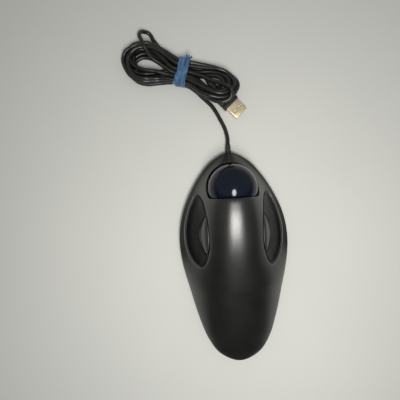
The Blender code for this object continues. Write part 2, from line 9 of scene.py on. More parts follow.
import bmesh
import bpy
import numpy as np
from mathutils import Matrix, Vector
from mathutils.geometry import delaunay_2d_cdt


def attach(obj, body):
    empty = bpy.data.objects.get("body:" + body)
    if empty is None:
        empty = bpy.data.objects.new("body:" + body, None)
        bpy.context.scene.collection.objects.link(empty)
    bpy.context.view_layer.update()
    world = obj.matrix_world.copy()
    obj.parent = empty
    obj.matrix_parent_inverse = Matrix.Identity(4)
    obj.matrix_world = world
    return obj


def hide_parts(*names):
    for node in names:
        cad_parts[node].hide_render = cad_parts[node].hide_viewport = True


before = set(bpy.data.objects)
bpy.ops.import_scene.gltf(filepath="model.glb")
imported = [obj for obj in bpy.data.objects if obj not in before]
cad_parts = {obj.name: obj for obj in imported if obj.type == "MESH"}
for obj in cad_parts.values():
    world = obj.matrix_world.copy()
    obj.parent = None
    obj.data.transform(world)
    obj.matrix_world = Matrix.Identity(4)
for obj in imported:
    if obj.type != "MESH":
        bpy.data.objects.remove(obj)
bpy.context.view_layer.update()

MM = 0.001
WELD = 0.003  # points closer than this become one
SHARP_FROM = math.radians(40)  # edges that turn more than this stay sharp

# ---------------------------------------------------------------- the frame's own numbers
HALF_OUTLINE = [
    (0, 84), (14.5, 77.2), (25.8, 64.3), (33.5, 51.5), (39.2, 38.6), (42.5, 25.8), (43.5, 12.9),
    (42.5, 0), (40, -12.8), (36.7, -25.6), (33.5, -38.5), (29.8, -51.3), (25, -64.2), (16.2, -77),
    (0, -84),
]
CREST = [
    (-84, 8), (-78, 11), (-70, 14.6), (-60, 19), (-50, 22.9), (-40, 26.7), (-30, 30.5), (-20, 34.3),
    (-10, 38), (0, 41.5), (10, 44.6), (20, 47), (30, 48.6), (40, 49.3), (47, 48.8), (50, 47.5),
    (55, 43.6), (60, 38), (65, 31), (70, 23), (74.4, 16.5), (80, 11.5), (84, 8),
]
EDGE, PARTING, SIDE_TAPER, WALL = 8.0, 4.5, 1.0, 1.8
SPINE_HALF = (0.1, 60.0)  # the middle line that the side wall leans towards
SHELL_ROUNDING = 1.0
KEY_DISH, KEY_CROWN = 1.7, 1.5
EDGE_HIGHLIGHT_WIDTH = 1.3  # width of the band of painted highlight along an edge
NECK_FROM, NECK_TO = -25.0, 15.0
BALL_CENTRE, BALL_RADIUS = Vector((0, 54, 28)), 19.0
MOUTH_CENTRE_Y, MOUTH_RADIUS, MOUTH_FRONT_Y = 55.0, 19.9, 47.0
KEY_OPENING = [
    (27, 51.5), (33.5, 43), (36.4, 35), (38.3, 27), (38.9, 18), (37.8, 8.5), (35.4, 2),
    (31.8, -2.8), (27.3, -5), (23.6, -1.5), (21.2, 5), (19.9, 13), (19.8, 21), (20.5, 31),
    (21.7, 40), (24, 48),
]
SMALL_KEY = [
    (21.7, 34), (24.6, 28.6), (26.2, 20.5), (25, 12), (22.2, 6.2), (20.75, 10.5), (20.2, 20),
    (20.75, 28),
]
KEY_GAP, LONG_KEY_RECESS, SMALL_KEY_RECESS, KEY_THICKNESS = 0.4, 0.4, 0.1, 2.0
NOTCH = (22.3, 5.2, 35.1)  # the long key leaves free what is left of x, between the two y
NOTCH_FROM = 20.9  # its edge follows the small key right of this x
CASE_SCREWS = {"neck_left": (-12, 25), "neck_right": (12, 25), "palm_left": (-20, -38),
               "palm_right": (20, -38), "palm_end": (0, -66)}
BOARD_SCREWS = [(-14, -20), (14, -20)]
FEET = {"rear_left": (-24, 50), "rear_right": (24, 50), "palm_left": (-19, -54),
        "palm_right": (19, -54)}
CEILING_END = math.radians(48)  # how far down towards -Y the bright surroundings reach
GLAND_Z = 5.0
CORD_RADIUS, CORD_LENGTH = 1.65, 1815.0
CORD_ROUTE = [
    (0, 90.9, 5), (0.2, 95, 4.4), (-0.2, 99, 3.3), (-1.7, 105, 2.1), (-4.2, 110.9, 1.8),
    (-7.1, 116.8, 1.8), (-10.2, 122.3, 1.8), (-15.7, 128.5, 1.8), (-19.5, 132.6, 1.8),
]
BEND_RADIUS = 8.4  # the line is pushed open where it bends tighter than this
TIE_CENTRE, TIE_ANGLE = (-33.4, 151.3), math.radians(-18)
PLUG_ROOT, PLUG_ANGLE, PLUG_Z = (5.3, 123.4), math.radians(-47.3), 3.9
PLUG_BODY, PLUG_NECK = (18.0, 14.5, 7.6), 7.0
PLUG_SHELL, SHELL_SHEET, SHELL_SEAT, SHELL_REACH = (12.0, 4.5), 0.4, 1.7, 10.9


# ================================================================ curves
def smooth(points, per_span, closed=False):
    """A smooth curve through the points, with per_span steps from each one to the next."""
    p = np.array(points, float)
    if closed:
        p = np.vstack([p[-1:], p, p[:2]])
    step = np.diff(p, axis=0)
    chord = np.linalg.norm(step, axis=1)[:, None]
    slope = step / chord
    tangent = np.vstack([slope[:1], slope])
    tangent[1:-1] = (slope[:-1] * chord[1:] + slope[1:] * chord[:-1]) / (chord[:-1] + chord[1:])
    t = np.linspace(0, 1, per_span, endpoint=False)[:, None]
    curve = []
    for i in range(1, len(p) - 2) if closed else range(len(p) - 1):
        bend = (t**3 - 2 * t**2 + t) * tangent[i] + (t**3 - t**2) * tangent[i + 1]
        curve.append(p[i] + (3 * t**2 - 2 * t**3) * step[i] + chord[i] * bend)
    return np.vstack(curve if closed else [*curve, p[-1:]])


def run_of(line):
    """Distance along a line of points, at each of them."""
    return np.concatenate([[0], np.cumsum(np.linalg.norm(np.diff(line, axis=0), axis=1))])


def spaced(curve, count, closed=True):
    """The same curve with count points, evenly spaced along it."""
    line = np.vstack([curve, curve[:1]]) if closed else curve
    along = run_of(line)
    at = np.linspace(0, along[-1], count, endpoint=not closed)
    return np.stack([np.interp(at, along, axis) for axis in line.T], axis=1)


def side_normals(curve):
    """Unit vectors pointing out of a closed plan curve."""
    ahead = np.roll(curve, -1, axis=0) - np.roll(curve, 1, axis=0)
    normal = np.stack([-ahead[:, 1], ahead[:, 0]], axis=1)
    normal /= np.linalg.norm(normal, axis=1)[:, None]
    x, y = curve.T
    area = (x * np.roll(y, -1) - np.roll(x, -1) * y).sum()
    return -normal if area > 0 else normal


def grown(curve, by):
    """The closed plan curve moved outwards, or inwards where by is negative."""
    return curve + by * side_normals(curve)


def inside(points, loop):
    """Which plan points lie inside a closed plan curve."""
    x, y = points.T
    hit = np.zeros(len(points), bool)
    for (x1, y1), (x2, y2) in zip(loop, np.roll(loop, -1, axis=0)):
        crosses = (y1 > y) != (y2 > y)
        if crosses.any():
            hit ^= crosses & (x < (x2 - x1) * (y - y1) / (y2 - y1 + 1e-12) + x1)
    return hit


def away(points, loop):
    """Distance from each plan point to a closed plan curve."""
    start, step = loop, np.roll(loop, -1, axis=0) - loop
    best = np.full(len(points), 1e9)
    for (sx, sy), (dx, dy) in zip(start, step):
        rx, ry = points[:, 0] - sx, points[:, 1] - sy
        t = np.clip((rx * dx + ry * dy) / max(dx * dx + dy * dy, 1e-12), 0, 1)
        best = np.minimum(best, np.hypot(rx - t * dx, ry - t * dy))
    return best


# ================================================================ the body's form
MIRRORED = HALF_OUTLINE + [(-x, y) for x, y in HALF_OUTLINE[-2:0:-1]]
OUTLINE = smooth(MIRRORED, 40, closed=True)
RIM = spaced(OUTLINE, 360)
HALF = OUTLINE[OUTLINE[:, 0] >= -1e-9]
HALF = HALF[np.argsort(HALF[:, 1])]


def eased_crest():
    """The crest line in small steps, its small changes of bend smoothed out."""
    step, window, width = 0.25, 24, 1.6
    y = np.arange(CREST[0][0], CREST[-1][0] + 0.01, step)
    line = smooth(CREST, 30)
    z = np.interp(y, line[:, 0], line[:, 1])
    reach = np.arange(-window, window + 1)
    weight = np.exp(-((reach * step / width) ** 2))
    padded = np.pad(z, window, mode="reflect", reflect_type="odd")
    return y, np.convolve(padded, weight / weight.sum(), "valid")


CREST_Y, CREST_Z = eased_crest()


def height(x, y):
    """The height of the outer surface above the table."""
    across = np.clip(np.abs(x) / np.maximum(np.interp(y, HALF[:, 1], HALF[:, 0]), 0.01), 0, 1)
    neck = 0.45 * (1 + np.cos(np.pi * across**1.35)) + 0.1 * np.sqrt(1 - across**2)
    dome = (1 - across**2.2) ** 0.8
    t = np.clip((y - NECK_FROM) / (NECK_TO - NECK_FROM), 0, 1)
    section = dome + (neck - dome) * t * t * (3 - 2 * t)
    return EDGE + (np.interp(y, CREST_Y, CREST_Z) - EDGE) * section


def mouth():
    """The D of the ball's opening: an arc closed by a straight front edge with round corners."""
    arc = np.radians(np.arange(-15, 195.1, 2.5))
    points = [(MOUTH_RADIUS * math.cos(a), MOUTH_CENTRE_Y + MOUTH_RADIUS * math.sin(a))
              for a in arc]
    reach, turn = 15.6, 18.6  # half the straight edge, and where its corners' tangents meet
    corner = [np.array(p, float)
              for p in (points[-1], (-turn, MOUTH_FRONT_Y), (-reach, MOUTH_FRONT_Y))]
    for t in np.linspace(0, 1, 13)[1:]:
        x, y = (1 - t) ** 2 * corner[0] + 2 * t * (1 - t) * corner[1] + t * t * corner[2]
        points.append((x, y))
    points += [(x, MOUTH_FRONT_Y) for x in np.arange(-15, 15.1, 1.0)]
    points += [(-x, y) for x, y in points[len(arc) + 11:len(arc) - 1:-1]]
    return np.array(points)


OPENING = spaced(smooth(KEY_OPENING, 12, closed=True), 150)
SMALL = spaced(smooth(SMALL_KEY, 12, closed=True), 90)


def long_key_outline():
    """The opening less its gap, with a notch round the small key."""
    reach = grown(OPENING, -KEY_GAP)
    room = grown(SMALL, KEY_GAP + 0.1)
    right, low, high = NOTCH
    strip = (reach[:, 0] < right) & (reach[:, 1] > low) & (reach[:, 1] < high)
    kept = ~(inside(reach, room) | strip)
    start = np.flatnonzero(kept & ~np.roll(kept, 1))[0]
    outer = np.roll(reach, -start, axis=0)[: kept.sum()]
    bulge = inside(room, reach) & (room[:, 0] > NOTCH_FROM)
    start = np.flatnonzero(bulge & ~np.roll(bulge, 1))[0]
    notch = np.roll(room, -start, axis=0)[: bulge.sum()]
    if np.linalg.norm(notch[0] - outer[-1]) > np.linalg.norm(notch[-1] - outer[-1]):
        notch = notch[::-1]
    return spaced(np.vstack([outer, notch]), 230)


# ================================================================ mesh makers
def placed(name, data):
    """A new object of the data, in the scene."""
    obj = bpy.data.objects.new(name, data)
    bpy.context.scene.collection.objects.link(obj)
    return obj


def shaded(mesh):
    mesh.shade_smooth()
    mesh.set_sharp_from_angle(angle=SHARP_FROM)


def to_object(name, verts, faces):
    """A mesh object of the points, its faces turned to point out."""
    mesh = bpy.data.meshes.new(name)
    points = (np.array(verts, float) * MM).tolist()
    mesh.from_pydata(points, [], [list(map(int, face)) for face in faces])
    bm = bmesh.new()
    bm.from_mesh(mesh)
    bmesh.ops.remove_doubles(bm, verts=bm.verts, dist=WELD * MM)
    bmesh.ops.recalc_face_normals(bm, faces=bm.faces)
    if bm.calc_volume(signed=True) < 0:
        bmesh.ops.reverse_faces(bm, faces=bm.faces)
    bm.to_mesh(mesh)
    bm.free()
    shaded(mesh)
    return placed(name, mesh)


def circle(radius, sides, centre=(0, 0)):
    """The points of a circle in plan."""
    a = np.arange(sides) * 2 * np.pi / sides
    return np.column_stack([centre[0] + radius * np.cos(a), centre[1] + radius * np.sin(a)])


def at_height(points, z):
    """The plan points, all at one height."""
    return np.column_stack([points, np.full(len(points), z)])


def wall(a, b):
    """The faces between two loops of the same number of points."""
    return [(a[i], a[i + 1 - len(a)], b[i + 1 - len(a)], b[i]) for i in range(len(a))]


def lofted(rings, joined=False):
    """Points and faces skinned over rings with the same number of points. The two ends are closed
    with flat faces, or joined to each other."""
    loops = np.arange(len(rings) * len(rings[0])).reshape(len(rings), -1).tolist()
    faces = [face for a, b in zip(loops, loops[1:]) for face in wall(a, b)]
    faces += wall(loops[-1], loops[0]) if joined else [tuple(loops[0][::-1]), tuple(loops[-1])]
    return np.vstack(rings), faces


def turned(name, profile, place, sides=48):
    """A turned solid; profile is (radius, height along its own Z), in millimetres."""
    obj = to_object(name, *lofted([at_height(circle(r, sides), z) for r, z in profile]))
    obj.data.transform(place)
    return obj


def at(position, direction=(0, 0, 1)):
    """The place of a piece whose own +Z points along direction, in metres."""
    aim = Vector((0, 0, 1)).rotation_difference(Vector(direction)).to_matrix().to_4x4()
    return Matrix.Translation(Vector(position) * MM) @ aim


def carved(obj, *cutters):
    """Cuts solids out of obj and removes them."""
    for cutter in cutters:
        change = obj.modifiers.new("cut", "BOOLEAN")
        change.operation, change.solver, change.object = "DIFFERENCE", "EXACT", cutter
        bpy.context.view_layer.update()
        mesh = bpy.data.meshes.new_from_object(
            obj.evaluated_get(bpy.context.evaluated_depsgraph_get()))
        obj.modifiers.clear()
        obj.data = mesh
        bpy.data.objects.remove(cutter)
    shaded(obj.data)
    return obj


def mark_highlight_edges(obj, loops):
    """Stores how near each point is to an edge, for the highlight that the material paints along
    it.
    """
    points = np.empty(3 * len(obj.data.vertices))
    obj.data.vertices.foreach_get("co", points)
    plan = points.reshape(-1, 3)[:, :2] / MM
    near = np.min([away(plan, loop) for loop in loops], axis=0)
    outer_side = np.clip((np.abs(plan[:, 0]) - 24) / 5, 0.15, 1)  # the painted highlight is strongest on the outer side
    # A pale band of painted highlight along the edges of the keys and their openings, where the
    # rounding would catch the lamp.
    wear_and_edge_highlight = np.clip(1 - near / EDGE_HIGHLIGHT_WIDTH, 0, 1) * outer_side
    obj.data.attributes.new("painted_edge_highlight", "FLOAT", "POINT").data.foreach_set("value", wear_and_edge_highlight)


def region(outer, holes, roundings, spacing, fine=()):
    """Triangles over a plan region, small ones along its rounded edges. Returns its points, its
    faces, and the numbers of the points on each loop."""
    loops = [outer, *holes]
    points, edges, numbers, total = [], [], [], 0
    for loop in loops:
        index = np.arange(total, total + len(loop))
        edges += list(zip(index.tolist(), np.roll(index, -1).tolist()))
        numbers.append(index)
        points.append(loop)
        total += len(loop)
    for number, (loop, rounding) in enumerate(zip(loops, roundings)):
        for share in (0.073, 0.28, 0.6, 1.0) if rounding else ():
            ring = grown(loop, rounding * share * (-1 if number == 0 else 1))
            points.append(ring[away(ring, loop) > 0.9 * rounding * share])
    low, high = outer.min(0), outer.max(0)
    grid = []
    for i, y in enumerate(np.arange(low[1], high[1], spacing * 0.866)):
        x = np.arange(low[0] + (i % 2) * spacing / 2, high[0], spacing)
        grid.append(np.column_stack([x, np.full(len(x), y)]))
    grid = np.vstack(grid)
    grid = grid[inside(grid, outer)]
    for loop, rounding in zip(loops, roundings):
        grid = grid[away(grid, loop) > rounding + spacing * 0.45]
    for loop in holes:
        grid = grid[~inside(grid, loop)]
    if len(fine):
        extra = np.vstack(fine)
        for loop, rounding in zip(loops, roundings):
            extra = extra[away(extra, loop) > (rounding + 0.1 if rounding else 0.03)]
        extra = extra[inside(extra, outer)]
        for loop in holes:
            extra = extra[~inside(extra, loop)]
        nearest = np.array([np.hypot(*(extra - p).T).min() for p in grid])
        points += [grid[nearest > spacing * 0.4], extra]
    else:
        points.append(grid)
    made = delaunay_2d_cdt([Vector(p) for p in np.vstack(points).tolist()], edges, [], 0, 1e-7)
    place = np.array([tuple(p) for p in made[0]])
    found = np.zeros(sum(len(p) for p in points), int)
    for i, given in enumerate(made[3]):
        found[given] = i
    faces = np.array([tuple(face) for face in made[2]])
    middle = place[faces].mean(axis=1)
    keep = inside(middle, outer) & (away(middle, outer) > 1e-4)
    for loop in holes:
        keep &= ~inside(middle, loop)
    return place, faces[keep], [found[index] for index in numbers]


def fallen(points, loops, roundings):
    """How far each point lies down the rounded edges of the loops."""
    drop = np.zeros(len(points))
    for loop, rounding in zip(loops, roundings):
        if rounding:
            into = np.clip(rounding - away(points, loop), 0, rounding)
            drop = np.maximum(drop, rounding - np.sqrt(rounding**2 - into**2))
    return drop


def panel(name, outer, holes, top, roundings, spacing, thickness, fine=(), skirt=()):
    """A closed sheet over a plan region: its top surface with rounded edges, its sides, and its
    underside. A skirt is rings, under the outer edge, that the side runs through."""
    points, faces, loops = region(outer, holes, roundings, spacing, fine)
    x, y = points.T
    z = top(x, y) - fallen(points, [outer, *holes], roundings)
    reach, steepest, side_width = 0.3, 1.2, 6
    slope_x = (top(x + reach, y) - top(x - reach, y)) / (2 * reach)
    slope_y = (top(x, y + reach) - top(x, y - reach)) / (2 * reach)
    steep = np.minimum(np.hypot(slope_x, slope_y), steepest)
    under = top(x, y) - thickness * np.sqrt(1 + steep**2)
    count = len(points)
    verts = [np.column_stack([points, z])]
    low = points
    if len(skirt):
        to_rim = away(points, outer)
        to_hole = np.min([away(points, hole) for hole in holes], axis=0)
        shrink = np.clip(1 - to_rim / side_width, 0, 1) * to_hole / (to_rim + to_hole)
        shrink = shrink[:, None] * (WALL + SIDE_TAPER)
        direction = points - np.clip(points, np.negative(SPINE_HALF), SPINE_HALF)
        direction /= np.maximum(np.linalg.norm(direction, axis=1), 1e-6)[:, None]
        low = points - direction * shrink
        under = np.maximum(under, PARTING + 0.8)
    verts.append(np.column_stack([low, under]))
    solid = [tuple(f) for f in faces] + [tuple(f[::-1] + count) for f in faces]
    total = 2 * count
    for number, loop in enumerate(loops):
        chain = [loop]
        if number == 0:
            for ring in skirt:
                verts.append(ring)
                chain.append(np.arange(total, total + len(ring)))
                total += len(ring)
        chain.append(loop + count)
        solid += [face for a, b in zip(chain, chain[1:]) for face in wall(a, b)]
    return to_object(name, np.vstack(verts), solid)


# ================================================================ body pieces
def make_shell():
    """The top shell with its mouth and key openings, its side wall, and the groove at its tip."""
    groove_y = np.arange(75.2, 83.4, 0.3)
    fine = [np.column_stack([np.full(len(groove_y), x), groove_y])
            for x in (-0.55, -0.3, -0.12, 0, 0.12, 0.3, 0.55)]

    def top(x, y):
        start, fade, width, depth = 75.4, 0.8, 0.24, 0.4
        groove = np.exp(-((x / width) ** 2)) * np.clip((y - start) / fade, 0, 1)
        return height(x, y) - depth * groove

    def level(inset, z):
        return at_height(grown(RIM, -inset), z)

    skirt = [level(0.02, 7.6), level(0.12, 7.2), level(0.55, 5.8), level(0.9, 4.85),
             level(1.05, 4.6), level(1.35, PARTING), level(SIDE_TAPER + WALL, PARTING)]
    holes = [mouth()] + [spaced(OPENING * (side, 1), len(OPENING)) for side in (1, -1)]
    fine += [grown(RIM, -inset) for inset in (0.05, 0.2, 0.45, 0.8, 1.3)]
    roundings = [0] + [SHELL_ROUNDING] * len(holes)
    return panel("shell", RIM, holes, top, roundings, 1.0, WALL, fine, skirt)


def make_base():
    """The base plate: bottom with screw bores and recesses for the feet, rim and lip."""
    ring = spaced(OUTLINE, 240)
    verts, faces, total = [], [], 0

    def add(points, z):
        """Takes in plan points at height z, and returns their numbers."""
        nonlocal total
        verts.append(at_height(points, z))
        total += len(points)
        return np.arange(total - len(points), total)

    def disc(centre, radius):
        return circle(radius, 40, centre)

    def plate(outer, holes, z):
        """A flat face at height z; returns the numbers of the points on its loops."""
        points, tris, loops = region(outer, holes, [0] * (1 + len(holes)), 9.0)
        first = add(points, z)[0]
        faces.extend(tuple(t + first) for t in tris)
        return [loop + first for loop in loops]

    def chain(start, steps, outline):
        """Walls from a loop through the outlines of (size, z)."""
        for size, z in steps:
            following = add(outline(size), z)
            faces.extend(wall(start, following))
            start = following
        return start

    def bored(start, steps, centre):
        return chain(start, steps, lambda radius: disc(centre, radius))

    screws, feet = list(CASE_SCREWS.values()), list(FEET.values())
    head, pillar, foot, board_pillar, pilot = 2.9, 3.8, 5.3, 3.2, 1.35
    low, high, pillar_top = 1.2, 2.8, 6.0
    bottom = plate(grown(ring, -3.0),
                   [disc(c, head) for c in screws] + [disc(c, foot) for c in feet], low)
    floor = plate(grown(ring, -4.9),
                  [disc(c, pillar) for c in screws] + [disc(c, board_pillar) for c in BOARD_SCREWS],
                  high)
    rim = [(2.6, 1.32), (1.9, 2.3), (1.35, 3.6), (1.2, 3.95), (1.3, 4.2), (3.1, 4.2), (3.2, 5.7),
           (3.45, 6.0), (4.5, 6.0), (4.75, 5.8)]
    lip = chain(bottom[0], rim, lambda inset: grown(ring, -inset))
    faces.extend(wall(lip, floor[0]))
    for i, centre in enumerate(screws, 1):
        end = bored(bottom[i], [(head, 3.0), (pilot, 3.0), (pilot, pillar_top),
                                (pillar, pillar_top)], centre)
        faces.extend(wall(end, floor[i]))
    for i, centre in enumerate(feet, 1 + len(screws)):
        faces.append(tuple(bored(bottom[i], [(foot, 1.7)], centre)))
    for i, centre in enumerate(BOARD_SCREWS, 1 + len(screws)):
        steps = [(board_pillar, 3.1), (pilot, 3.1), (pilot, 1.6)]
        faces.append(tuple(bored(floor[i], steps, centre)))
    return to_object("base", np.vstack(verts), faces)


def make_keys():
    """Both pairs of keys: long ones with a shallow dish, small ones with a crown."""
    def eased(x, y, loop, width):
        """From 0 on the loop to 1 at that width inside it."""
        depth = away(np.column_stack([x, y]), loop)
        return np.sin(np.clip(depth / width, 0, 1) * np.pi / 2)

    def long_top(x, y):
        return height(x, y) - LONG_KEY_RECESS - KEY_DISH * eased(x, y, OPENING, 6) ** 1.6

    def small_top(x, y):
        return height(x, y) - SMALL_KEY_RECESS + KEY_CROWN * eased(x, y, SMALL, 3)

    made = {}
    for name, loop, top, fillet in (("long_cap", long_key_outline(), long_top, 1.0),
                                    ("small_cap", SMALL, small_top, 0.6)):
        right = panel(f"right_{name}", loop, [], top, [fillet], 0.8, KEY_THICKNESS)
        mark_highlight_edges(right, [loop])
        left = placed(f"left_{name}", right.data.copy())
        left.data.transform(Matrix.Scale(-1, 4, (1, 0, 0)))
        left.data.flip_normals()
        made[name] = (right, left)
    return made


def make_ball():
    """The polished ball, from six square patches, so that it has no poles."""
    steps = 40
    line = np.tan(np.linspace(-np.pi / 4, np.pi / 4, steps + 1))
    u, v = np.meshgrid(line, line)
    verts, faces = [], []
    patch = np.stack([u, v, np.ones_like(u)], axis=-1).reshape(-1, 3)
    sides = [(0, 1, 2, 1), (0, 1, 2, -1), (1, 2, 0, 1), (1, 2, 0, -1), (2, 0, 1, 1), (2, 0, 1, -1)]
    for number, (a, b, c, sign) in enumerate(sides):
        side = np.zeros_like(patch)
        side[:, a], side[:, b], side[:, c] = patch[:, 0], patch[:, 1], patch[:, 2] * sign
        side /= np.linalg.norm(side, axis=1)[:, None]
        verts.append(side * BALL_RADIUS + np.array(BALL_CENTRE))
        start = number * len(patch)
        for i in range(steps):
            for j in range(steps):
                k = start + i * (steps + 1) + j
                quad = (k, k + 1, k + steps + 2, k + steps + 1)
                faces.append(quad if sign > 0 else quad[::-1])
    return to_object("trackball", np.vstack(verts), faces)


def make_screw(name, centre):
    """A case screw, its head up a bore in the base, with a cross recess."""
    x, y = centre
    profile = [(2.3, 1.5), (2.6, 1.75), (2.6, 2.7), (1.05, 2.7), (1.05, 10.1), (0.5, 10.5)]
    screw = turned(f"screw_{name}", profile, at((x, y, 0)))
    blade = np.array([(-1.5, -0.32), (1.5, -0.32), (1.5, 0.32), (-1.5, 0.32)])
    for turn in (0.3, 0.3 + math.pi / 2):
        rings = [at_height(blade * size, z) for size, z in ((1.15, 1.0), (0.75, 2.35))]
        cross = to_object("cross", *lofted(rings))
        cross.data.transform(at((x, y, 0)) @ Matrix.Rotation(turn, 4, "Z"))
        carved(screw, cross)
    return screw


def make_foot(name, centre):
    profile = [(4.3, 0), (4.75, 0.12), (4.95, 0.4), (5.0, 0.7), (5.0, 1.4)]
    return turned(f"pad_{name}", profile, at((*centre, 0)))


def make_gland():
    """The strain relief: a collar in the shell's wall, then a short tapered boot with ribs."""
    profile = [(2.95, 77.8), (3.0, 77.9), (3.0, 79.7), (2.3, 79.7), (2.3, 84.2), (2.42, 84.3),
               (2.46, 84.6), (2.46, 85.3), (2.36, 85.5), (2.14, 85.7), (2.14, 86.2), (2.26, 86.4),
               (2.26, 86.9), (2.08, 87.1), (2.08, 87.6), (2.18, 87.8), (2.18, 88.3), (2.0, 88.5),
               (2.0, 89.0), (2.08, 89.2), (2.08, 89.9), (1.9, 90.4), (1.7, 90.6)]
    return turned("strain_relief_boot", profile, at((0, 0, GLAND_Z), (0, 1, 0)))


def gland_bore():
    """What the shell and the base leave free for the strain relief."""
    profile = [(3.3, 77.5), (3.3, 80), (2.6, 80), (2.6, 90)]
    return turned("bore", profile, at((0, 0, GLAND_Z), (0, 1, 0)))


# ================================================================ plug
def rounded(wide, tall, radius, corner=6):
    """A rounded rectangle in plan."""
    points = []
    for number, (sx, sy) in enumerate(((1, 1), (-1, 1), (-1, -1), (1, -1))):
        for i in range(corner):
            a = math.radians(90 * number + 90 * i / (corner - 1))
            points.append((sx * (wide / 2 - radius) + radius * math.cos(a),
                           sy * (tall / 2 - radius) + radius * math.sin(a)))
    return np.array(points)


PLUG_PLACE = at((*PLUG_ROOT, PLUG_Z)) @ Matrix.Rotation(PLUG_ANGLE, 4, "Z")


def along_plug(sections):
    """Rings across the plug; sections are (x along it, width, height, corner radius)."""
    outlines = [(x, rounded(wide, tall, radius)) for x, wide, tall, radius in sections]
    return [np.column_stack([np.full(len(o), x), o]) for x, o in outlines]


def plug_piece(name, verts, faces):
    piece = to_object(name, verts, faces)
    piece.data.transform(PLUG_PLACE)
    return piece


def make_plug():
    """The moulding with its grip ribs, the metal shell, and the tongue with its contacts."""
    long, wide, tall = PLUG_BODY
    sections = [(-25, 5.0, 5.0, 2.4), (-24.7, 5.6, 5.6, 2.7), (-21.5, 5.9, 5.9, 2.9)]
    for x in (-20.6, -19.4):
        sections += [(x, 6.0, 6.0, 2.9), (x + 0.1, 5.4, 5.4, 2.6), (x + 0.5, 5.4, 5.4, 2.6),
                     (x + 0.6, 6.1, 6.1, 2.9)]
    sections += [(-18.4, 6.2, 6.1, 2.9), (-long, 9.5, 6.6, 2.6), (-17.5, 11.6, 7.0, 2.2),
                 (-16.4, 13.2, 7.4, 1.9), (-14.6, 14.2, tall, 1.7), (-12.6, wide, tall, 1.6)]
    for x in (-11.6, -9.4, -7.2, -5.0):
        sections += [(x, wide, tall, 1.6), (x + 0.15, 13.8, 7.5, 1.6), (x + 0.65, 13.8, 7.5, 1.6),
                     (x + 0.8, wide, tall, 1.6)]
    sections += [(-0.7, wide, tall, 1.6), (-0.25, 14.3, 7.4, 1.5), (0, 13.7, 6.8, 1.3),
                 (0, 12.6, 5.1, 0.8), (-2.0, 12.6, 5.1, 0.8)]
    body = plug_piece("plug_moulding", *lofted(along_plug(sections)))

    w, t = PLUG_SHELL
    hollow_w, hollow_t = w - 2 * SHELL_SHEET, t - 2 * SHELL_SHEET
    outer = [(-SHELL_SEAT, w, t, 0.6), (SHELL_REACH - 0.35, w, t, 0.6),
             (SHELL_REACH - 0.1, w - 0.12, t - 0.12, 0.55),
             (SHELL_REACH, w - 0.35, t - 0.35, 0.5)]
    inner = [(SHELL_REACH, w - 0.6, t - 0.6, 0.35), (SHELL_REACH - 0.2, hollow_w, hollow_t, 0.3),
             (-SHELL_SEAT, hollow_w, hollow_t, 0.3)]
    metal = plug_piece("plug_shell", *lofted(along_plug(outer + inner), joined=True))
    for side in (1, -1):
        outline = rounded(2.3, 2.5, 0.25) + (5.7, side * 2.85)
        window = plug_piece("window", *lofted([at_height(outline, z) for z in (-4, 4)]))
        carved(metal, window)

    low = -t / 2 + SHELL_SHEET + 0.3
    rings = along_plug([(-1.6, 10.6, 1.8, 0.15), (9.6, 10.6, 1.8, 0.15), (9.95, 10.4, 1.4, 0.15)])
    tongue = plug_piece("plug_tongue", *lofted([r + (0, 0, low + 0.9) for r in rings]))
    verts, faces = [], []
    for y, end in ((-3.5, 9.2), (-1.0, 8.2), (1.0, 8.2), (3.5, 9.2)):
        rings = along_plug([(0.5, 1.0, 0.16, 0.05), (end, 1.0, 0.16, 0.05),
                            (end + 0.2, 0.8, 0.1, 0.04)])
        points, sides = lofted([r + (0, y, low + 1.86) for r in rings])
        faces += [tuple(i + len(verts) for i in side) for side in sides]
        verts += points.tolist()
    pins = plug_piece("plug_contacts", verts, faces)
    return body, metal, tongue, pins


# ================================================================ cord
ALONG = np.array([math.cos(TIE_ANGLE), math.sin(TIE_ANGLE)])
ASIDE = np.array([-ALONG[1], ALONG[0]])
# Places through the tie, six side by side in three layers, and which of them each pass takes.
COLUMNS = [-8.4, -5.04, -1.68, 1.68, 5.04, 8.4]
LAYERS = [3.0, 6.4, 9.8]
PASSES = [(0, 0), (4, 0), (1, 0), (3, 0), (2, 0), (3, 1), (2, 1), (4, 1), (1, 1), (5, 1), (0, 1),
          (5, 2), (0, 2), (4, 2), (1, 2), (3, 2), (2, 2), (5, 0)]
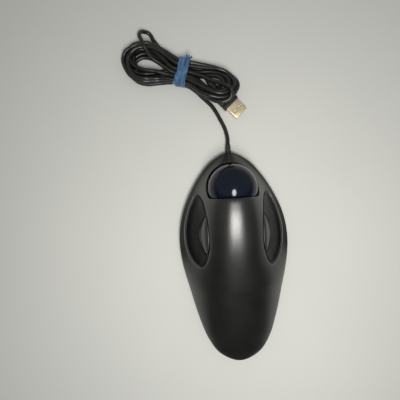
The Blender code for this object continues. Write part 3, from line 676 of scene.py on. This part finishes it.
# Points of each turn of the hank, as (along it, aside, height) from the tie.
LEFT_TURNS = [
    [(-18, -11, 2), (-27, -14, 2), (-35, -13.8, 1.8), (-42.5, -9, 1.8), (-45.5, -1, 1.8),
     (-42, 7, 1.8), (-34, 10.5, 1.8), (-20, 8, 2)],
    [(-18, -8, 2.5), (-27, -10.6, 2), (-34, -10.6, 1.8), (-40, -6, 1.8), (-41.5, 0, 1.8),
     (-38, 6, 1.8), (-30, 8, 1.8), (-18, 5, 2.5)],
    [(-18, -4.5, 3.5), (-27, -7.5, 2.5), (-35, -7, 5), (-42, -3, 5), (-44, 3, 5), (-40, 9.5, 5),
     (-30, 11.5, 5), (-18, 8, 6)],
    [(-18, -6, 6), (-27, -9, 5.4), (-35, -10, 5.2), (-42.5, -6.5, 5), (-45, 0.5, 5), (-41, 8, 5.2),
     (-30, 10.4, 5.4), (-18, 7.5, 6)],
    [(-18, -9, 5.5), (-27, -12.5, 5.4), (-35, -13.2, 5.2), (-42, -10, 5), (-46.5, -2.5, 5),
     (-43, 6, 5.2), (-33, 12.8, 5.4), (-18, 10.5, 6)],
    [(-18, -10.8, 6), (-27, -14.5, 8), (-35, -14.8, 8), (-43, -10, 8), (-48.2, -1, 7),
     (-44.5, 7.5, 8), (-33, 14, 8.5), (-18, 11.5, 9)],
    [(-18, -10.5, 9), (-27, -13.5, 11), (-35, -13.8, 10.5), (-42, -8.5, 10), (-45, -0.5, 9),
     (-41, 8, 10), (-32, 11.5, 10.5), (-18, 9.4, 10)],
    [(-19.6, -5.4, 11), (-30, -6.6, 11), (-38, -4.5, 8.5), (-44.2, 1.5, 8), (-44.5, 9, 8),
     (-39, 14.2, 8.5), (-30, 12.8, 9), (-18, 8.4, 9.5)],
    [(-20, 2.2, 10.5), (-27, 4.6, 11.5), (-32.5, 9.4, 12), (-37, 14.6, 11.5), (-40.6, 19.4, 9),
     (-40.8, 23.8, 5.6), (-36.2, 24.8, 3), (-30.6, 20.2, 2), (-23.5, 15.0, 2), (-16, 11, 2.6)],
]
RIGHT_TURNS = [
    [(16, 5.2, 4), (24, 5.0, 7.5), (31, 4.4, 9), (36.2, 2.1, 9.6), (38.2, -2.8, 9.6),
     (36, -7.8, 9.6), (31, -10, 9.4), (23, -9.6, 7.5), (15, -7, 4)],
    [(13, 2.4, 4), (20, 4.2, 6.5), (27, 4.8, 9), (32.2, 2.4, 9.8), (34.2, -2.6, 10),
     (32, -7.6, 9.8), (27, -9.6, 9), (20, -7.8, 6.5), (13, -4, 4)],
    [(14, 2.6, 7), (23, 4.4, 8.5), (31.5, 4.4, 10.5), (37.4, 2.0, 12), (39.6, -3.2, 12.5),
     (37.4, -8.4, 12.5), (31.5, -10.6, 12), (23, -9, 9.5), (15, -4.6, 7)],
    [(16, 5.6, 7), (27, 6.2, 9), (37, 4.0, 11), (41.5, -2.2, 12), (38, -9, 12.5),
     (29, -12.0, 12.5), (20, -10.5, 9), (13, -7, 7)],
    [(16, 8.6, 7), (27, 8.8, 7), (37, 6.8, 6), (45, 1.5, 8), (45.5, -6, 12), (39, -12, 13),
     (30, -14.5, 12.5), (21, -13.2, 8), (13, -10.3, 7)],
    [(16, 8.6, 10), (27, 9.0, 10), (38, 7, 9), (46.5, 1, 10), (45.5, -7, 13), (39, -12.5, 14),
     (29, -14.6, 14), (20, -13.0, 12), (13, -9.8, 10)],
    [(16, 5.8, 10), (27, 6.0, 11), (37, 4.0, 11), (43.4, -1.4, 12), (41.8, -9.0, 14),
     (34, -12.6, 15), (25, -11.4, 14), (16, -7.6, 11)],
    [(16, 1.2, 10.5), (26, -0.8, 12.5), (34.5, -1.6, 14.5), (41.5, -3.8, 15), (42.8, -10, 14.5),
     (37, -14.6, 14), (28, -13.4, 13), (19, -8.4, 11.5), (13, -3.6, 10.5)],
]
TO_LEFT_OF_TIE = (12.5, -9.8, 2.2)  # on the way from the free stretch to the first pass
TO_PLUG = [(14, 6.0, 3.0), (18.5, 2.0, 3.6), (21.5, -0.8, 3.9)]


def from_hank(along, aside, z):
    return (*(np.array(TIE_CENTRE) + along * ALONG + aside * ASIDE), z)


def to_hank(points):
    relative = points[:, :2] - TIE_CENTRE
    return relative @ ALONG, relative @ ASIDE


def first_lay():
    """The cord's planned line, from the strain relief to the back of the plug."""
    hold = 7.0  # half the length that the planned line runs straight through the tie
    points = list(CORD_ROUTE) + [from_hank(*TO_LEFT_OF_TIE)]
    for i, (column, layer) in enumerate(PASSES):
        leftwards = i % 2 == 0
        through = [from_hank(along, COLUMNS[column], LAYERS[layer]) for along in (hold, 0, -hold)]
        points += through if leftwards else through[::-1]
        turns = (LEFT_TURNS if leftwards else RIGHT_TURNS)[i // 2: i // 2 + 1]
        points += [from_hank(*step) for turn in turns for step in turn]
    points += [from_hank(*step) for step in TO_PLUG]
    back, lead_in = PLUG_BODY[0] + PLUG_NECK, 1.5
    for distance in (back + lead_in, back):
        points.append((PLUG_ROOT[0] - distance * math.cos(PLUG_ANGLE),
                       PLUG_ROOT[1] - distance * math.sin(PLUG_ANGLE), PLUG_Z))
    return smooth(points, 8)


def clear_of_plug(points, radius):
    """The points, those in the plug's moulding moved out of it, and upwards."""
    turn = np.array([[math.cos(PLUG_ANGLE), -math.sin(PLUG_ANGLE)],
                     [math.sin(PLUG_ANGLE), math.cos(PLUG_ANGLE)]])
    relative = points - np.array([*PLUG_ROOT, PLUG_Z])
    local = np.column_stack([relative[:, :2] @ turn, relative[:, 2]])
    corner, upwards = 1.5, 0.25  # the moulding's rounding, and what is added to each push's rise
    most, share = 0.8, 0.6  # the longest push, and the part of it that one step makes
    centre = np.array([-PLUG_BODY[0] / 2, 0, 0])
    past = np.abs(local - centre) - (np.array(PLUG_BODY) / 2 - corner)
    outside = np.maximum(past, 0)
    distance = np.linalg.norm(outside, axis=1) + np.minimum(past.max(axis=1), 0)
    push = np.where(outside > 0, np.sign(local - centre) * outside, 0)
    size = np.linalg.norm(push, axis=1)
    none = size < 1e-6
    push[none] = (0, 0, 1)
    push /= np.where(none, 1, size)[:, None]
    push[:, 2] = np.abs(push[:, 2]) + upwards
    push /= np.linalg.norm(push, axis=1)[:, None]
    step = np.clip(radius + corner - distance, 0, most) * share
    local += push * step[:, None]
    return np.column_stack([local[:, :2] @ turn.T, local[:, 2]]) + np.array([*PLUG_ROOT, PLUG_Z])


def settle(line, steps=560, spacing=1.8):
    """Lets the planned line come to rest: it keeps its length, falls, and lies on the table, on
    itself and on the plug, and the tie holds it together."""
    fall = 0.05
    early_pull, late_pull = 0.02, 0.006  # shares of the way back to the plan
    late_from = 0.6  # share of the steps
    shape_shares = ((1, 0.5), (3, 0.35), (6, 0.25))  # steps of the line to each side, and share
    open_share, apart_share = 0.3, 0.28
    neighbours, next_along = 6, 6  # how near passes are compared, and how far apart on the line
    gap, slack = 0.06, 0.02  # left between passes, and over the table
    tie_half, aside_most, lowest, highest = 6.5, 8.55, 2.95, 11.0

    total = run_of(line)[-1]
    count = int(round(total / spacing)) + 1
    x = spaced(line, count, closed=False)
    rest = total / (count - 1)
    route = smooth(CORD_ROUTE, 8)
    lead = int(run_of(route)[-1] / rest)
    for i in range(lead):
        x[i] = [np.interp(i * rest, run_of(route), axis) for axis in route.T]
    home = x.copy()
    free = np.ones((count, 1))
    free[:lead - 1] = free[-3:] = 0
    need = 2 * CORD_RADIUS + gap
    reach = 3  # steps of the line on each side over which a bend is measured
    widest = 2 * BEND_RADIUS * math.sin(reach * rest / BEND_RADIUS)
    index = np.arange(count)
    for step in range(steps):
        if step % 8 == 0:
            square = (x**2).sum(1)
            near = square[:, None] + square[None, :] - 2 * x @ x.T < neighbours**2
            first, second = np.nonzero(np.triu(near, next_along))
        x[:, 2] -= fall * free[:, 0]
        pull = early_pull if step < late_from * steps else late_pull
        x[:, :2] += pull * (home - x)[:, :2] * free
        for side, share in shape_shares:
            off = x - home
            middle = (off[:-2 * side] + off[2 * side:]) / 2
            x[side:-side] += share * (middle - off[side:-side]) * free[side:-side]
        for _ in range(3):
            for start in (0, 1):
                i = index[start:-1:2]
                apart = x[i + 1] - x[i]
                size = np.linalg.norm(apart, axis=1, keepdims=True)
                weight = np.maximum(free[i] + free[i + 1], 1)
                change = (size - rest) / np.maximum(size, 1e-9) / weight * apart
                x[i] += change * free[i]
                x[i + 1] -= change * free[i + 1]
        for _ in range(3):
            across = x[2 * reach:] - x[:-2 * reach]
            size = np.linalg.norm(across, axis=1, keepdims=True)
            open_up = open_share * np.maximum(widest - size, 0) / np.maximum(size, 1e-6) * across
            x[2 * reach:] += open_up * free[2 * reach:]
            x[:-2 * reach] -= open_up * free[:-2 * reach]
        for _ in range(3):
            apart = x[second] - x[first]
            size = np.maximum(np.linalg.norm(apart, axis=1, keepdims=True), 1e-6)
            push = apart_share * np.maximum(need - size, 0) / size * apart
            move = np.zeros_like(x)
            np.add.at(move, first, -push)
            np.add.at(move, second, push)
            x += move * free
        x = np.where(free > 0, clear_of_plug(x, CORD_RADIUS + 0.05), x)
        along, aside = to_hank(x)
        held = np.abs(along) < tie_half
        inward = np.clip(aside, -aside_most, aside_most) - aside
        x[held, :2] += (inward[:, None] * ASIDE)[held]
        x[held, 2] = np.clip(x[held, 2], lowest, highest)
        x[:, 2] = np.where(free[:, 0] > 0, np.maximum(x[:, 2], CORD_RADIUS + slack), x[:, 2])
    return x


def make_cord():
    points = smooth(settle(first_lay()), 2)
    curve = bpy.data.curves.new("cord", "CURVE")
    curve.dimensions = "3D"
    curve.bevel_depth = CORD_RADIUS * MM
    curve.bevel_resolution = 4
    curve.use_fill_caps = True
    spline = curve.splines.new("POLY")
    spline.points.add(len(points) - 1)
    spline.points.foreach_set("co", np.column_stack([points * MM, np.ones(len(points))]).ravel())
    return placed("cord", curve)


# ================================================================ tie
def bundle_section(count):
    """The tied cord's section, as (aside, height) points and unit vectors pointing out of it."""
    low, high, half = 0.85, 12.75, 10.35
    outline = rounded(2 * half, high - low, 4.2, 12) + (0, (high + low) / 2)
    outline = spaced(outline, count)
    return outline, side_normals(outline)


def make_wrap(name, centre, half, tilt, lift, seed, sides=150, across=30):
    """One turn of crumpled film round the bundle, with pleats that run the way it is pulled."""
    section, normals = bundle_section(sides)
    underneath = 0.6 - 0.5 * lift  # pressed flat by the table, each turn outside the one before it
    thick, pleats = 0.18, 0.36  # the film where it is thinnest, and how high its pleats rise
    u = np.arange(sides) / sides * 2 * np.pi
    rings = []
    for side in (1, -1):
        for v in np.linspace(-side, side, across):
            drift = 0.5 * np.sin(2 * u + seed) + 0.35 * np.sin(5 * u + 2 * seed)
            pleat = (np.abs(np.sin(5.5 * v + drift * 2.1 + seed))
                     + 0.6 * np.abs(np.sin(11 * v - drift * 3.0 + 1.7 * seed))
                     + 0.25 * np.sin(23 * v + drift * 5 + 9 * u))
            rise = (thick + pleats * pleat) * (1 - abs(v) ** 6)
            rise = lift + rise if side == 1 else lift - thick + 0.85 * rise
            ring = section + normals * rise[:, None]
            ring[:, 1] = np.maximum(ring[:, 1], underneath + (0 if side == 1 else 0.15))
            width = half * (1 + 0.12 * np.sin(2 * u + 2.3 * seed) + 0.05 * np.sin(7 * u + seed))
            s = centre + tilt * np.sin(u + 0.6) + v * width
            rings.append([from_hank(*point) for point in zip(s, *ring.T)])
    return to_object(name, *lofted(rings, joined=True))


def make_tuft(name, root, lean, size, seed):
    """The gathered loose end of the film, a pleated fan standing out of the wraps."""
    rows, columns, half_thick = 16, 34, 0.16
    sheets = []
    for offset in (half_thick, -half_thick):
        sheet = []
        for i in range(rows):
            a = i / (rows - 1)
            for j in range(columns):
                b = j / (columns - 1) * 2 - 1
                spread = (0.25 + 0.75 * a) * size
                pleat = (0.25 + 0.9 * a) * math.sin(9 * b + seed + 1.4 * a)
                along = root[0] + b * spread * 0.62 + lean[0] * a * size
                aside = root[1] + lean[1] * a * size + pleat * 0.7
                up = root[2] + lean[2] * a * size + offset + 0.5 * a * math.cos(6 * b + seed)
                sheet.append(from_hank(along, aside, max(up, 0.3)))
        sheets.append(sheet)
    verts = np.array(sheets[0] + sheets[1])
    total = rows * columns
    faces = []
    for i in range(rows - 1):
        for j in range(columns - 1):
            k = i * columns + j
            quad = (k, k + 1, k + columns + 1, k + columns)
            faces += [quad, tuple(n + total for n in quad[::-1])]
    grid = np.arange(total).reshape(rows, columns)
    rim = np.concatenate([grid[0], grid[1:, -1], grid[-1, -2::-1], grid[-2:0:-1, 0]])
    for a, b in zip(rim, np.roll(rim, -1)):
        faces.append((b, a, a + total, b + total))
    return to_object(name, verts, faces)


# ================================================================ materials
def ranged(tree, source, low, high, to_low=0.0, to_high=1.0):
    """A value brought from one range into another."""
    node = tree.nodes.new("ShaderNodeMapRange")
    names = ("From Min", "From Max", "To Min", "To Max")
    for name, value in zip(names, (low, high, to_low, to_high)):
        node.inputs[name].default_value = value
    tree.links.new(source, node.inputs["Value"])
    return node.outputs["Result"]


def blended(tree, first, second, share):
    """A colour between two; the first may come from another node."""
    mix = tree.nodes.new("ShaderNodeMix")
    mix.data_type = "RGBA"
    if isinstance(first, tuple):
        mix.inputs["A"].default_value = (*first, 1)
    else:
        tree.links.new(first, mix.inputs["A"])
    mix.inputs["B"].default_value = (*second, 1)
    tree.links.new(share, mix.inputs["Factor"])
    return mix.outputs["Result"]


def grained(name, colour, second, roughness, metallic=0.0, grain=0.25, depth=0.012, patch=9.0,
            wear_and_edge_highlight=0.0, spread=0.06, coat=0.0, specular=0.5, second_grain=0.0, drawn=None,
            painted_edge_highlight=None):
    """A moulded or plated finish: fine grain as bump, patches of slightly other colour and
    roughness, and sharp edges painted lighter, partly as edge wear and partly as a painted
    highlight. Grain and patch sizes and the bump's depth are in mm. Drawn is the direction that the
    grain is drawn out in, and how far. The colour given for the marked edges is a painted highlight
    along them."""
    material = bpy.data.materials.new(name)
    material.use_nodes = True
    tree = material.node_tree
    nodes, links = tree.nodes, tree.links
    shader = nodes["Principled BSDF"]
    shader.inputs["Metallic"].default_value = metallic
    shader.inputs["Specular IOR Level"].default_value = specular
    if coat:
        shader.inputs["Coat Weight"].default_value = coat
        shader.inputs["Coat Roughness"].default_value = 0.04

    def noise(size, detail, seed):
        node = nodes.new("ShaderNodeTexNoise")
        node.noise_dimensions = "4D"
        node.inputs["W"].default_value = seed
        node.inputs["Scale"].default_value = 1 / (size * MM)
        node.inputs["Detail"].default_value = detail
        links.new(where, node.inputs["Vector"])
        return node.outputs["Fac"]

    def bumped(height, distance, normal=None):
        node = nodes.new("ShaderNodeBump")
        node.inputs["Strength"].default_value = 1.0
        node.inputs["Distance"].default_value = distance * MM
        links.new(height, node.inputs["Height"])
        if normal:
            links.new(normal, node.inputs["Normal"])
        return node.outputs["Normal"]

    where = nodes.new("ShaderNodeTexCoord").outputs["Object"]
    if drawn:
        turn, narrowing = drawn
        drawing = nodes.new("ShaderNodeMapping")
        drawing.vector_type = "TEXTURE"
        drawing.inputs["Rotation"].default_value = (0, 0, turn)
        drawing.inputs["Scale"].default_value = (1, narrowing, narrowing)
        links.new(where, drawing.inputs["Vector"])
        where = drawing.outputs["Vector"]
    fine, broad = noise(grain, 2, 1.0), noise(patch, 4, 2.0)
    out = blended(tree, colour, second, ranged(tree, broad, 0.35, 0.65))
    # Sharp edges painted lighter: partly edge wear, partly a painted highlight along them.
    if wear_and_edge_highlight:
        edge = nodes.new("ShaderNodeNewGeometry").outputs["Pointiness"]
        lighter = tuple(min(1, c * 2 + 0.06) for c in colour)
        out = blended(tree, out, lighter, ranged(tree, edge, 0.525, 0.585, 0, wear_and_edge_highlight))
    # Mixes in the painted highlight along the marked edges.
    if painted_edge_highlight:
        mark = nodes.new("ShaderNodeAttribute")
        mark.attribute_name = "painted_edge_highlight"
        out = blended(tree, out, painted_edge_highlight, ranged(tree, mark.outputs["Fac"], 0.3, 0.9))
    links.new(out, shader.inputs["Base Color"])
    links.new(ranged(tree, broad, 0.3, 0.7, roughness - spread, roughness + spread),
              shader.inputs["Roughness"])
    normal = bumped(fine, depth)
    if second_grain:
        normal = bumped(noise(second_grain, 1, 3.0), depth * 2, normal)
    links.new(normal, shader.inputs["Normal"])
    return material


def flecked_ball():
    """Polished dark resin with fine lighter flecks under its surface."""
    material = grained("ball_resin", (0.003, 0.0055, 0.013), (0.004, 0.007, 0.017), 0.11, grain=1.5,
                       depth=0.0006, patch=6, spread=0.02, specular=0.35)
    tree = material.node_tree
    base = tree.nodes["Principled BSDF"].inputs["Base Color"]
    cells = tree.nodes.new("ShaderNodeTexVoronoi")
    cells.inputs["Scale"].default_value = 1 / (0.9 * MM)
    place = next(node for node in tree.nodes if node.type == "TEX_COORD")
    tree.links.new(place.outputs["Object"], cells.inputs["Vector"])
    fleck = ranged(tree, cells.outputs["Distance"], 0.10, 0.20, 0.5, 0.0)
    tree.links.new(blended(tree, base.links[0].from_socket, (0.03, 0.045, 0.09), fleck), base)
    return material


def dress(obj, finish):
    obj.data.materials.clear()
    obj.data.materials.append(FINISH[finish])


FINISH = {
    # The colours given for the marked edges of the shell and the keys are painted highlights. The
    # shares that lighten sharp edges paint partly wear and partly highlight.
    "shell": grained("shell_plastic", (0.0040, 0.0039, 0.0033), (0.0055, 0.0054, 0.0046), 0.33,
                     grain=0.25, depth=0.026, patch=14, wear_and_edge_highlight=0.6, spread=0.02, specular=1.0,
                     second_grain=0.8, painted_edge_highlight=(0.17, 0.17, 0.16)),
    "key": grained("key_plastic", (0.0030, 0.0030, 0.0040), (0.0042, 0.0042, 0.0056), 0.34,
                   grain=0.2, depth=0.004, patch=8, wear_and_edge_highlight=0.9, specular=0.12,
                   painted_edge_highlight=(0.15, 0.15, 0.15)),
    "small_key": grained("small_key_plastic", (0.011, 0.0107, 0.0095), (0.0135, 0.013, 0.0115),
                         0.36, grain=0.2, depth=0.005, patch=8, wear_and_edge_highlight=0.7, specular=1.0),
    "base": grained("base_plastic", (0.010, 0.010, 0.0095), (0.013, 0.013, 0.0125), 0.52, grain=0.3,
                    depth=0.02, patch=12, wear_and_edge_highlight=0.3),
    "ball": flecked_ball(),
    "cup": grained("cup_plastic", (0.006, 0.009, 0.018), (0.008, 0.012, 0.024), 0.35, grain=0.3,
                   depth=0.004),
    "stud": grained("stud_ceramic", (0.72, 0.70, 0.66), (0.66, 0.64, 0.60), 0.16, grain=0.1,
                    depth=0.001, patch=1, spread=0.04),
    "window": grained("window_clear", (0.55, 0.57, 0.60), (0.50, 0.52, 0.56), 0.12, grain=0.8,
                      depth=0.002, patch=3, spread=0.04, coat=0.5),
    "chip": grained("chip_black", (0.018, 0.018, 0.019), (0.024, 0.024, 0.025), 0.5, grain=0.12,
                    depth=0.006, patch=3),
    "lamp": grained("lamp_red", (0.45, 0.02, 0.015), (0.55, 0.035, 0.025), 0.12, grain=0.6,
                    depth=0.002, patch=2, spread=0.04),
    "board": grained("board_mask", (0.012, 0.095, 0.042), (0.016, 0.115, 0.052), 0.38, grain=0.35,
                     depth=0.006, patch=5, spread=0.08),
    "steel": grained("plated_steel", (0.50, 0.50, 0.50), (0.42, 0.42, 0.43), 0.30, 1.0, grain=0.1,
                     depth=0.003, patch=1.5, wear_and_edge_highlight=0.3),
    "connector": grained("nylon", (0.70, 0.67, 0.58), (0.64, 0.61, 0.52), 0.45, grain=0.15,
                         depth=0.005, patch=4),
    "plunger": grained("plunger_red", (0.50, 0.03, 0.02), (0.42, 0.025, 0.018), 0.4, grain=0.1,
                       depth=0.003, patch=2),
    "rubber": grained("soft_rubber", (0.022, 0.022, 0.021), (0.030, 0.030, 0.028), 0.7, grain=0.15,
                      depth=0.02, patch=4, spread=0.1),
    "cord": grained("cord_jacket", (0.009, 0.0093, 0.0085), (0.012, 0.0122, 0.0112), 0.34,
                    grain=0.35, depth=0.008, patch=6, spread=0.08, specular=0.6, second_grain=2.2),
    "moulding": grained("plug_black", (0.008, 0.008, 0.0085), (0.011, 0.011, 0.0115), 0.45,
                        grain=0.2, depth=0.012, patch=5, wear_and_edge_highlight=0.3),
    # The paler second blue, in drawn-out streaks, is partly the film's own uneven tone and partly
    # painted highlights on its crinkles.
    "tie": grained("blue_film", (0.022, 0.070, 0.165), (0.12, 0.25, 0.45), 0.34, grain=0.3,
                   depth=0.05, patch=0.8, spread=0.1, wear_and_edge_highlight=0.6, second_grain=0.7,
                   drawn=(TIE_ANGLE, 7.0)),
    "plug_metal": grained("gold_plate", (0.86, 0.72, 0.46), (0.72, 0.60, 0.38), 0.36, 1.0,
                          grain=0.12, depth=0.003, patch=2.5, spread=0.08, wear_and_edge_highlight=0.2),
    "tongue": grained("tongue_white", (0.68, 0.67, 0.62), (0.62, 0.61, 0.56), 0.45, grain=0.12,
                      depth=0.004, patch=2),
}
# The frame's nodes that are seen as they are, by finish.
CARRIED = {
    "cup": ["ball_cup"], "stud": ["bearing_left", "bearing_right", "bearing_front"],
    "window": ["sensor_window"], "lamp": ["sensor_lamp"], "board": ["main_board"],
    "connector": ["board_connector"], "cord": ["inner_lead"],
    "steel": ["crystal", "capacitor_1", "capacitor_2", "board_screw_left", "board_screw_right"],
    "chip": ["sensor_chip", "controller_chip", "left_switch", "left_small_switch", "right_switch",
             "right_small_switch"],
    "plunger": ["left_switch_plunger", "left_small_switch_plunger", "right_switch_plunger",
                "right_small_switch_plunger"],
}


def stand_for(piece, finish, slot, body, *nodes):
    """Gives a new piece its finish and its body, and hides the frame's nodes that it stands for."""
    dress(piece, finish)
    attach(piece, body)
    if nodes:
        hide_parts(*nodes)
    return piece


# ================================================================ scene
def make_object():
    shell = carved(make_shell(), gland_bore())
    mark_highlight_edges(shell, [OPENING, OPENING * (-1, 1)])
    stand_for(shell, "shell", "shell", "case", "top_shell")
    base = carved(make_base(), gland_bore())
    stand_for(base, "base", "base", "case", "base_plate")
    keys = make_keys()
    for name, node in (("long_cap", "key"), ("small_cap", "small_key")):
        for piece, side in zip(keys[name], ("right", "left")):
            stand_for(piece, node, "key", f"{side}_{node}", f"{side}_{node}")
    stand_for(make_ball(), "ball", "ball", "ball", "ball")
    for name, centre in CASE_SCREWS.items():
        stand_for(make_screw(name, centre), "steel", "steel", "case", f"case_screw_{name}")
    for name, centre in FEET.items():
        stand_for(make_foot(name, centre), "rubber", "rubber", "case", f"foot_{name}")
    gland = stand_for(make_gland(), "rubber", "rubber", "case", "strain_relief")
    body, metal, tongue, pins = make_plug()
    stand_for(body, "moulding", "cord", "case", "usb_plug_body")
    stand_for(metal, "plug_metal", "plug_metal", "case", "usb_shell")
    stand_for(tongue, "tongue", "connector", "case", "usb_tongue")
    stand_for(pins, "plug_metal", "plug_metal", "case")
    wraps = [make_wrap("tie_wrap_1", -1.5, 3.5, 0.9, 0.15, 0.4),
             make_wrap("tie_wrap_2", 1.4, 3.6, -1.1, 0.5, 2.1),
             make_wrap("tie_wrap_3", 0.2, 2.0, 2.4, 0.95, 4.4),
             make_tuft("tie_end", (2.2, 9.2, 11.4), (0.15, 0.62, 0.42), 4.6, 0.7)]
    stand_for(wraps[0], "tie", "tie", "case", "cable_tie")
    for wrap in wraps[1:]:
        stand_for(wrap, "tie", "tie", "case")
    cord = stand_for(make_cord(), "cord", "cord", "case", "cable", "cable_hank")
    for finish, nodes in CARRIED.items():
        for node in nodes:
            dress(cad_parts[node], finish)


def make_floor(half=3.0):
    """A plain pale table top; half is half its side, in metres."""
    mesh = bpy.data.meshes.new("floor")
    corners = [(-half, -half, 0), (half, -half, 0), (half, half, 0), (-half, half, 0)]
    mesh.from_pydata(corners, [], [(0, 1, 2, 3)])
    mesh.materials.append(grained("floor_paint", (0.74, 0.745, 0.715), (0.72, 0.725, 0.70), 0.7,
                                  grain=0.6, depth=0.01, patch=120, spread=0.05))
    placed("floor", mesh)


def make_lights():
    """One soft lamp towards the palm, and surroundings that darken low down behind it."""
    light = bpy.data.lights.new("lamp", "AREA")
    light.shape = "ELLIPSE"
    light.size, light.size_y = 0.15, 0.26
    light.energy, light.color = 0.56, (1.0, 0.99, 0.95)
    light.spread = math.radians(95)
    lamp, aim = placed("lamp", light), Vector((0.02, 0.03, 0.0))
    lamp.location = (0.012, -0.11, 0.50)
    lamp.visible_camera = False
    lamp.rotation_mode = "QUATERNION"
    lamp.rotation_quaternion = (lamp.location - aim).to_track_quat("Z", "Y")

    world = bpy.data.worlds.new("studio")
    bpy.context.scene.world = world
    world.use_nodes = True
    tree = world.node_tree
    place, share = tree.nodes.new("ShaderNodeTexCoord"), tree.nodes.new("ShaderNodeVectorMath")
    share.operation = "DOT_PRODUCT"
    share.inputs[1].default_value = (0, math.cos(CEILING_END), math.sin(CEILING_END))
    tree.links.new(place.outputs["Generated"], share.inputs[0])
    fade = ranged(tree, share.outputs["Value"], -0.15, 0.3)
    tree.links.new(blended(tree, (0.03, 0.03, 0.03), (0.30, 0.30, 0.29), fade),
                   tree.nodes["Background"].inputs["Color"])


def make_camera():
    lens = bpy.data.cameras.new("camera")
    lens.lens, lens.sensor_width = 35.9, 36.0
    lens.clip_start, lens.clip_end = 0.01, 20
    camera = placed("camera", lens)
    camera.location = (-0.0252, 0.047, 0.33)
    camera.rotation_euler = (0, 0, math.radians(-3.35))
    bpy.context.scene.camera = camera


make_camera()
make_object()
make_floor()
make_lights()
bpy.context.scene.view_settings.view_transform = "Standard"
